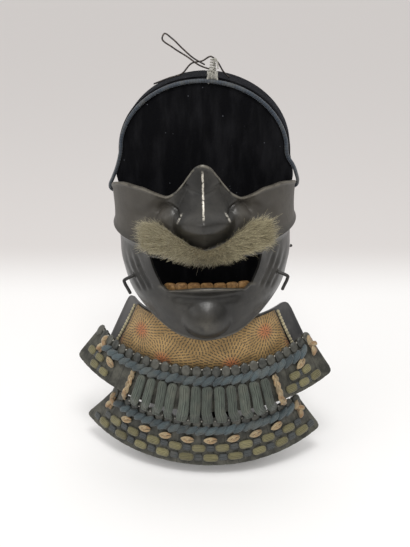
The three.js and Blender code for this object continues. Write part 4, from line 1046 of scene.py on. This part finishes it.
def makeHeads():
    # each head is a low dome over a five-sided outline that points down
    spec = guardRows["heads"]
    finish, pinFinish = headLacquer(), tarnishedPin()
    corner = np.radians([90 - 52, 90 + 52, 180 + 8, 270, 360 - 8])
    reach = np.array([1.12, 1.12, 1.0, 1.12, 1.0])
    order = np.argsort(np.mod(corner, 2 * np.pi))
    turn = 2 * np.pi * np.arange(15) / 15
    outline = np.interp(turn, np.mod(corner, 2 * np.pi)[order], reach[order], period=2 * np.pi)
    for name, row, span in (("upper", 0.105, (-0.99, 0.97)), ("lower", 0.105, (-0.97, 0.97))):
        count = spec[name]
        share = (np.arange(count) + 0.5) / count * 2 - 1
        v = np.full(count, row)
        u = stripSpan(name, share, v)
        point, across, up, out = stripFrame(name, u, v, boardHalf + 0.1)
        levels = np.array([0.0, 0.5, 0.82, 1.0])
        shrink = np.array([1.0, 0.98, 0.86, 0.6])
        local = outline[None] * shrink[:, None]
        wide = spec["width"] * random.uniform(0.93, 1.03, count)
        ringX = local * np.cos(turn)
        ringZ = local * np.sin(turn) * spec["height"]
        lift = levels[:, None] * spec["dome"] + 0 * ringX
        points = (point[:, None, None] + across[:, None, None] * (wide[:, None, None] * ringX[None])[..., None]
                  + up[:, None, None] * np.broadcast_to(ringZ, (count, *ringZ.shape))[..., None]
                  + out[:, None, None] * np.broadcast_to(lift, (count, *lift.shape))[..., None])
        hubs = np.stack([point, point + out * spec["dome"] * 1.04], 1)
        allPoints = np.concatenate([points.reshape(count, -1, 3), hubs], axis=1)
        i, j = [grid.ravel() for grid in np.meshgrid(np.arange(3), np.arange(15), indexing="ij")]
        nextJ = (j + 1) % 15
        quads = np.stack([i * 15 + j, (i + 1) * 15 + j, (i + 1) * 15 + nextJ, i * 15 + nextJ], 1)
        k = np.arange(15)
        caps = np.concatenate([np.stack([np.full(15, 60), k, (k + 1) % 15], 1),
                               np.stack([np.full(15, 61), 45 + (k + 1) % 15, 45 + k], 1)])
        shift = (np.arange(count) * 62)[:, None, None]
        form = {"points": allPoints.reshape(-1, 3),
                "faces": [(quads[None] + shift).reshape(-1, 4), (caps[None] + shift).reshape(-1, 3)],
                "marks": {"tone": np.repeat(random.uniform(0, 1, count), 62)}}
        makePiece(f"{name}_scale_heads", form, finish, [f"{name}_board"], onGuard, sharp=40)
        pinShare = (np.arange(count - 1) + 1) / count * 2 - 1
        pinV = np.full(count - 1, 0.035)
        pinPlace = stripFrame(name, stripSpan(name, pinShare, pinV), pinV, boardHalf + 1.0)
        if name == "lower":
            pinShare = (np.arange(13) + 1) / 14 * 2 - 1
            pinV = rowV(0.045, 0.05, pinShare * 0.82)
            pinPlace = stripFrame(name, pinShare * 0.82, pinV, boardHalf + 2.2)
        pins = lumps(pinPlace, 1.9, 0.95, 0.95, stations=6, sides=8, blunt=2)
        makePiece(f"{name}_pins", pins, pinFinish, [f"{name}_board"], onGuard)


def makeRopes():
    spec = guardRows["rope"]
    for name in ("upper", "lower"):
        start, end, height, rise = spec[name]
        stepU = mmToU(name, spec["pitch"], height)
        count = int(round((end - start) / stepU)) + 1
        u = np.linspace(start + 0.015, end - 0.015, count)
        u = u + random.normal(0, 0.0035, count)
        v = rowV(height, rise, u) + random.normal(0, 0.003, count)
        place = stripFrame(name, u, v, boardHalf + gap + 1.9)
        lean = spec["lean"] + random.normal(0, 3.5, count)
        leaves = lumps(place, spec["length"] * random.uniform(0.93, 1.06, count),
                       spec["halfWidth"] * random.uniform(0.92, 1.08, count), spec["halfHeight"], lean,
                       sway=-0.75, rise=0.7, stations=9, sides=10, blunt=2.0, tone=random.uniform(0.15, 1, count))
        lineU = np.linspace(start, end, 70)
        # a flat roll under the leaves, darkened to tone 0: painted shade in the gaps between them
        shadeCore = ridge(name, lineU, rowV(height, rise, lineU), 3.6, 1.4, boardHalf + gap + 1.6, tone=0.0)
        makePiece(f"{name}_silk_rope", joined([leaves, shadeCore]), blueSilk, [f"{name}_rope"], onGuard)


def makeBands():
    spec = guardRows["lacing"]
    lift = boardHalf + gap + spec["thickness"] / 2 + 0.4
    for k in range(spec["bands"]):
        atEnd = k in (0, spec["bands"] - 1)
        share = (2 * k + 1) / spec["bands"] - 1
        upperU, lowerU = share * spec["topShare"], share * spec["bottomShare"]
        stops = [("upper", 0.4, lift), ("upper", 0.5, lift), ("upper", 0.72, lift + 0.6), ("upper", 1.0, lift + 2.9),
                 ("lower", -0.04, lift + 2.4), ("lower", rowV(0.065, 0.07, lowerU), lift)]
        line, outs = [], []
        for strip, v, high in stops:
            point, _, _, out = stripFrame(strip, upperU if strip == "upper" else lowerU, v, high)
            line.append(point)
            outs.append(out)
        centres = smoothLine(line, 26)
        travel = np.linspace(0, 1, 26)[:, None]
        out = unit(outs[0] * (1 - travel) + outs[-1] * travel)
        along = unit(np.gradient(centres, axis=0))
        out = unit(out - along * (out * along).sum(-1, keepdims=True))
        slant = random.uniform(-1.6, 1.6)
        across = np.cross(out, along)
        centres = centres + across * (slant * np.sin(np.pi * travel))
        t = travel[:, 0]
        width = spec["width"] / 2 * (0.68 if atEnd else 1.0) * random.uniform(0.84, 1.04)
        taper = np.sqrt(np.clip(1 - (1 - np.minimum(1, t / 0.13 + 0.1)) ** 2, 0.1, 1))
        taper = taper * (1 - 0.1 * softStep((t - 0.86) / 0.14))
        fold = 1 + 0.05 * np.sin(2 * np.pi * (t + random.uniform()))
        tone = np.array([random.uniform(0.2, 0.8)])
        body = tubes(centres[None], across[None], out[None], (width * taper * fold)[None],
                     (spec["thickness"] / 2 * taper)[None], sides=20, square=0.72, around=23.0, tone=tone)
        name = (f"cream_band_{'left' if k == 0 else 'right'}" if atEnd else f"silk_band_{k:02d}")
        node = (f"cream_lacing_{'left' if k == 0 else 'right'}" if atEnd else f"lacing_{k:02d}")
        if atEnd:
            # three cream strands plaited over each other instead of one flat bundle
            strands = []
            for strand in range(3):
                phase = 2 * np.pi * (2.2 * t + strand / 3)
                shifted = (centres + across * (width * 0.5 * np.sin(phase))[:, None]
                           + out * (0.8 * np.sin(2 * phase))[:, None])
                strands.append(tubes(shifted[None], across[None], out[None], (width * 0.5 * taper)[None],
                                     (1.15 * taper)[None], sides=10, tone=np.array([0.25 + 0.3 * strand])))
            body = joined(strands)
        makePiece(name, body, creamSilk if atEnd else bandSilk, [node],
                  onGuard)


def eyeKnot(strip, u, v, lean=0.0, length=12.5):
    # two strands bowed apart round a twist in the middle, over a flat lump darkened to tone 0 as painted shade in
    # the eye of the knot
    place = stripFrame(strip, np.full(4, u), np.full(4, v), boardHalf + gap + np.array([1.5, 1.5, 1.9, 1.1]))
    return lumps(place, np.array([length, length, length * 0.62, length * 0.9]), np.array([1.5, 1.5, 1.1, 1.8]),
                 np.array([1.4, 1.4, 1.3, 0.8]), lean + np.array([4, -4, 34, 0]), np.array([1.9, -1.9, 0, 0]),
                 rise=0.5, stations=9, sides=8, blunt=2.2, tone=np.array([0.8, 0.6, 0.9, 0.0]))


def endBraid(strip, u, v, count=3):
    # cream leaves lying over each other down the board's end, over a flat backing darkened as painted shade
    step = 0.095
    k = np.arange(count) - (count - 1) / 2
    place = stripFrame(strip, np.full(count, u) + 0.012 * np.where(np.arange(count) % 2, 1, -1), v + step * 1.25 * k,
                       boardHalf + gap + 1.5)
    lean = 90 - 38 * np.where(np.arange(count) % 2, -1, 1)
    leaves = lumps(place, 9.2, 2.5, 1.7, lean, sway=0.6, rise=0.5, stations=9, sides=9, blunt=2.1,
                   tone=random.uniform(0.4, 1, count))
    # painted shade: a flat dark backing under the leaves, at tone 0
    shadeBacking = lumps(stripFrame(strip, np.array([u]), np.array([v]), boardHalf + gap + 0.8), 19, 3.4, 0.9, 90.0,
                    stations=10, sides=8, blunt=6, tone=np.array([0.0]))
    return joined([leaves, shadeBacking])


def makeKnots():
    spec = guardRows["knots"]
    for k in range(spec["count"]):
        u = spec["firstU"] + spec["pitchU"] * k
        form = eyeKnot("lower", u, float(rowV(spec["v"], spec["rise"], u)), random.normal(8, 5))
        makePiece(f"cream_eye_knot_{k + 1}", form, creamSilk, [f"cream_knot_{k + 1}"], onGuard)
    for side, label in ((-1, "left"), (1, "right")):
        tilt = 25 * side
        makePiece(f"upper_eye_knot_{label}", eyeKnot("upper", side * 0.74, 0.51 if side < 0 else 0.45, tilt),
                  creamSilk, [f"upper_knot_{label}"], onGuard)
        makePiece(f"upper_braid_{label}", endBraid("upper", side * 0.89, 0.27), creamSilk,
                  [f"upper_end_braid_{label}"], onGuard)
        makePiece(f"lower_braid_{label}", endBraid("lower", side * 0.88, 0.3), creamSilk,
                  [f"lower_end_braid_{label}"], onGuard)


padRows = {  # strip, first u, pitch, count, v, rise
    "lower_pads_high": ("lower", -0.757, 0.184, 9, 0.635, 0.07),
    "lower_pads_low": ("lower", -0.849, 0.184, 10, 0.835, 0.05),
    "upper_pads_left_high": ("upper", -0.95, 0.1, 2, 0.6, 0),
    "upper_pads_left_low": ("upper", -0.86, 0.1, 2, 0.82, 0),
    "upper_pads_right_high": ("upper", 0.67, 0.1, 2, 0.62, 0),
    "upper_pads_right_low": ("upper", 0.62, 0.1, 3, 0.84, 0),
}


def makePads():
    for name, (strip, first, pitch, count, v, rise) in padRows.items():
        u = first + pitch * np.arange(count)
        height = rowV(v, rise, u)
        place = stripFrame(strip, u, height, boardHalf + gap + 0.7)
        wide = pitch / mmToU(strip, 1.0, v) * (0.62 if strip == "lower" else 0.82)
        pads = lumps(place, wide * random.uniform(0.92, 1.06, count), 3.7 * random.uniform(0.92, 1.06, count), 1.9,
                     random.normal(0, 3, count), stations=10, sides=12, blunt=5, square=0.7,
                     tone=random.uniform(0.2, 1, count))
        makePiece(name.replace("pads", "silk_pads"), pads, oliveSilk, [name], onGuard)
        between = first + pitch * (np.arange(count + (strip == "lower")) - 0.5)
        if strip == "upper":
            between = between[1:]
        ground = stripFrame(strip, between, rowV(v, rise, between), boardHalf + gap + 0.35)
        narrow = pitch / mmToU(strip, 1.0, v) * (0.36 if strip == "lower" else 0.3)
        quilt = lumps(ground, narrow, 3.3, 0.75, 0.0, stations=8, sides=10, blunt=6, square=0.7,
                      tone=random.uniform(0.3, 0.8, len(between)))
        makePiece(name.replace("pads", "quilting"), quilt, quiltSilk, [name], onGuard)


makeCollar()
makeHide()
makeBoards()
makeHeads()
makeRopes()
makeBands()
makeKnots()
makePads()
print("throat guard made")


# ---- the velvet form, its base, the tying cord, wires and twine

stand = {"halfWidth": 75.5, "archBase": 282, "archRise": 65, "thickness": 40, "edgeRadius": 7, "waistHeight": 232,
         "neckHalfWidth": 27, "neckHeight": 118, "foot": 16.35, "swell": (3.2, 262, 11)}


def standHalfWidth(z):
    # neck, then one bezier out to the shoulders, upright sides, and a half ellipse on top
    w, neck = stand["halfWidth"], stand["neckHalfWidth"]
    t = np.linspace(0, 1, 200)
    p = [(neck, stand["neckHeight"]), (neck + 10, stand["neckHeight"] + 40), (w, stand["waistHeight"] - 60),
         (w, stand["waistHeight"])]
    curve = [sum(c * q[axis] for c, q in zip(((1 - t) ** 3, 3 * t * (1 - t) ** 2, 3 * t * t * (1 - t), t ** 3), p))
             for axis in (0, 1)]
    width = np.interp(z, curve[1], curve[0])
    out, middle, height = stand["swell"]
    width = width + out * bell(z - middle, height) * softStep((z - 228) / 8) * softStep((292 - z) / 8)
    over = np.clip((z - stand["archBase"]) / stand["archRise"], 0, 1)
    return width * np.sqrt(1 - over ** 2)


def makeStand():
    # rings of constant height, from foot to crown: half thickness falls on a quarter circle within the edge radius
    radius, half = stand["edgeRadius"], stand["thickness"] / 2
    z = np.concatenate([np.linspace(stand["foot"], stand["archBase"], 90)[:-1],
                        stand["archBase"] + stand["archRise"] * np.sin(np.linspace(0, np.pi / 2, 56))])
    outline = np.concatenate([np.stack([side * standHalfWidth(z), z], 1) for side in (-1, 1)]
                             + [np.stack([np.linspace(-27, 27, 40), np.full(40, stand["foot"])], 1)])
    lead = np.sin(np.linspace(-np.pi / 2, np.pi / 2, 61))
    width = standHalfWidth(z)
    x = width[:, None] * lead[None]
    away = np.min(np.hypot(x[..., None] - outline[:, 0], z[:, None, None] - outline[:, 1]), axis=-1)
    inside = np.minimum(away, radius)
    depth = half - radius + np.sqrt(np.maximum(radius ** 2 - (radius - inside) ** 2, 0))
    depth = depth + 0.8 * softStep((away - 5) / 35)
    front = np.stack([x, -depth, z[:, None] + 0 * x], -1)
    back = np.stack([x, depth, z[:, None] + 0 * x], -1)[:, ::-1]
    rings = np.concatenate([front, back], axis=1)
    stations, sides = rings.shape[:2]
    i, j = [grid.ravel() for grid in np.meshgrid(np.arange(stations - 1), np.arange(sides), indexing="ij")]
    nextJ = (j + 1) % sides
    quads = np.stack([i * sides + j, i * sides + nextJ, (i + 1) * sides + nextJ, (i + 1) * sides + j], 1)
    k = np.arange(sides)
    foot = np.stack([np.full(sides, stations * sides), (k + 1) % sides, k], 1)
    points = np.concatenate([rings.reshape(-1, 3), [[0, 0, stand["foot"]]]])
    form = {"points": points, "faces": [quads, foot]}
    piece = makePiece("velvet_form", form, blackVelvet(), ["stand_form"], onStand)
    mesh = piece.data
    work = bmesh.new()
    work.from_mesh(mesh)
    bmesh.ops.remove_doubles(work, verts=work.verts, dist=0.01 * mm)  # closes the crown
    bmesh.ops.dissolve_degenerate(work, edges=work.edges, dist=0.001 * mm)
    work.to_mesh(mesh)
    work.free()


def dressNode(name, material):
    # a CAD node that keeps its shape and only gets its finish
    node = cadNodes[name]
    node.data.materials.clear()
    node.data.materials.append(material)


tie = {"radius": 1.8, "lean": 27, "lift": 2.25,
       "right": [(79.4, 2.6, 244), (83, 1.4, 246.8), (83.6, -4, 252), (81, -13, 261.5), (77, -22, 271.5)],
       "left": [(-77.4, -15.5, 269), (-81.9, -11, 257.5), (-85.6, -5, 248.5), (-85.4, 0.8, 243.5),
                (-80.4, 2.6, 240)]}


def archPoints():
    # the rounded front edge of the form, from right to left
    turn = np.radians(np.arange(0, 181, 12))
    lean, radius = np.radians(tie["lean"]), stand["edgeRadius"]
    inset = radius - (radius + tie["lift"]) * np.sin(lean)
    y = radius - stand["thickness"] / 2 - (radius + tie["lift"]) * np.cos(lean)
    return onStand(np.stack([(stand["halfWidth"] - inset) * np.cos(turn), y + 0 * turn,
                             stand["archBase"] + (stand["archRise"] - inset) * np.sin(turn)], -1))


def makeTyingCord():
    line = np.concatenate([tie["right"], archPoints(), tie["left"]])
    centres = smoothLine(line, 170)
    along = unit(np.gradient(centres, axis=0))
    outward = unit(centres - np.array([0, 12.0, 262]))
    out = unit(outward - along * (outward * along).sum(-1, keepdims=True))
    across = np.cross(out, along)
    form = tubes(centres[None], across[None], out[None], 1.8, 1.5, sides=14, square=0.85, around=10.8,
                 tone=np.array([0.6]))
    cord = makePiece("navy_tying_cord", form, tieSilk, ["tying_cord"])
    path = centres * mm
    tuple(path[0])
    [tuple(p) for p in path]


wires = {"radius": 0.7,
         "loop": [(4.5, 353), (-4, 356), (-15, 363.5), (-27, 371), (-35.5, 378.5), (-33.8, 381.8), (-27.5, 378),
                  (-19, 370), (-9, 361.5), (0, 356.5)],
         "bridge": [(-44, 339.5), (-30, 344.8), (-20, 348), (-11, 357), (-2, 359), (5, 362.5), (10.5, 358),
                    (16, 349.5), (21, 344.8)]}


def makeWires():
    finish = brownedWire()
    loop = [(x, -17 + (0 if k < 5 else 1.8), z) for k, (x, z) in enumerate(wires["loop"])]
    bridge = [(x, -9.5, z) for x, z in wires["bridge"]]
    for name, line in (("loop", loop), ("bridge", bridge)):
        form = ironRod(line, wires["radius"], 90, sides=10)
        makePiece(f"hanging_wire_{name}", form, finish, [f"wire_{name}"])


def makeTwine():
    # thin cotton wound round the cord, then up round the wires, with loose ends
    wound = []
    centre = np.array([6.3, -17.4, 347.5])
    t = np.linspace(0, 1, 120)
    turn = 2 * np.pi * 6.5 * t
    tight = 3.6 + 0.5 * np.sin(turn * 0.37 + 1)
    wound.append(np.stack([centre[0] - 4.2 + 8.2 * t, centre[1] + tight * np.cos(turn),
                           centre[2] + tight * np.sin(turn)], -1))
    turn = 2 * np.pi * 5 * t
    tight = 2.7 - 1.0 * t
    wound.append(np.stack([6.6 + tight * np.cos(turn), -15.6 + tight * np.sin(turn), 351 + 11.0 * t], -1))
    turn = 2 * np.pi * 3 * t
    wound.append(np.stack([6.3 + 3.4 * np.cos(turn + 1) * (1 - 0.3 * t), -16.6 + 2.9 * np.sin(turn + 1),
                           347 + 8.5 * t + 1.2 * np.sin(turn * 1.5)], -1))
    for tail in ([(7, -18.5, 358), (9, -19.5, 362), (10.2, -19.5, 359), (11, -20, 354)],
                 [(5, -18.5, 352), (2.8, -20.5, 349), (2.0, -21.3, 345.5), (3.0, -21.6, 342)],
                 [(8, -19, 352), (9.6, -21, 348.5), (10.4, -21.6, 345), (9.6, -21.8, 342)]):
        wound.append(smoothLine(tail, 24))
    parts = []
    for line in wound:
        along = unit(np.gradient(line, axis=0))
        across = unit(np.cross(along, np.array([0.31, 0.17, 0.93])))
        parts.append(tubes(line[None], across[None], np.cross(across, along)[None], 0.62, 0.62, sides=7,
                           around=3.5, tone=np.array([0.7])))
    makePiece("wound_twine", joined(parts), twineCotton, ["twine_knot"])


makeStand()
dressNode("stand_base", ebonisedWood())
makeTyingCord()
makeWires()
makeTwine()
print("stand and ties made")


# ---- floor, light and camera

# the floor darkens to the wall colour from 0.28 to 0.5 m behind the object: painted shade of the far floor
studio = {"floor": "#f4f3f2", "wall": "#d9d5d3", "farShadeStarts": 0.28, "farShadeFull": 0.5, "world": "#f4f3f2",
          "worldStrength": 1.0, "roomFront": 0.3}


def makeStudio():
    mesh = bpy.data.meshes.new("studio_floor")
    reach = 9.0
    mesh.from_pydata([(-reach, -reach, 0), (reach, -reach, 0), (reach, reach, 0), (-reach, reach, 0)], [],
                     [(0, 1, 2, 3)])
    material, tree, shader = startMaterial("matt_paper_sweep", Roughness=0.95, Specular_IOR_Level=0.1)
    y = addNode(tree, "ShaderNodeSeparateXYZ", {0: objectPlace(tree)}, "Y")
    # painted shade: the far floor darker than the near floor
    paint(tree, shader, blended(tree, spread(tree, y, studio["farShadeStarts"], studio["farShadeFull"]), studio["floor"],
                                studio["wall"]))
    mesh.materials.append(material)
    floor = bpy.data.objects.new("studio_floor", mesh)
    bpy.context.scene.collection.objects.link(floor)
    world = bpy.data.worlds.new("studio_room")
    world.use_nodes = True
    room = world.node_tree
    backdrop = room.nodes["Background"]
    backdrop.inputs["Color"].default_value = linearColour(studio["world"])
    towards = addNode(room, "ShaderNodeSeparateXYZ", {0: addNode(room, "ShaderNodeTexCoord", output="Generated")},
                      "Z").node
    ceiling = spread(room, towards.outputs["Z"], 0.0, 0.75, studio["roomFront"], 1.0)
    behind = spread(room, towards.outputs["Y"], 0.0, 0.9, 0.0, 0.45)
    strength = maths(room, "MULTIPLY", maths(room, "ADD", ceiling, behind), studio["worldStrength"])
    room.links.new(strength, backdrop.inputs["Strength"])
    bpy.context.scene.world = world
    for name, place, size, power, aim in (("ceiling_panel", (0.03, -0.62, 1.15), 0.4, 5.5, (0, -0.05, 0.2)),
                                          ("left_window", (-1.3, -0.7, 0.8), 0.9, 2.5, (0, 0, 0.15))):
        light = bpy.data.lights.new(name, "AREA")
        light.shape, light.size, light.energy = "DISK", size, power
        lamp = bpy.data.objects.new(name, light)
        lamp.location = place
        lamp.rotation_euler = (Vector(aim) - Vector(place)).to_track_quat("-Z", "Y").to_euler()
        bpy.context.scene.collection.objects.link(lamp)
    camera = bpy.data.cameras.new("camera")
    camera.lens, camera.sensor_width, camera.sensor_fit = 822 / 547 * 36, 36, "AUTO"
    camera.clip_start = 0.01
    viewpoint = bpy.data.objects.new("camera", camera)
    viewpoint.location = (0, -0.720, 0.465)
    viewpoint.rotation_euler = (np.radians(90 - 23), 0, 0)
    bpy.context.scene.collection.objects.link(viewpoint)
    bpy.context.scene.camera = viewpoint
    bpy.context.scene.view_settings.view_transform = "Standard"


makeStudio()
print("studio made")
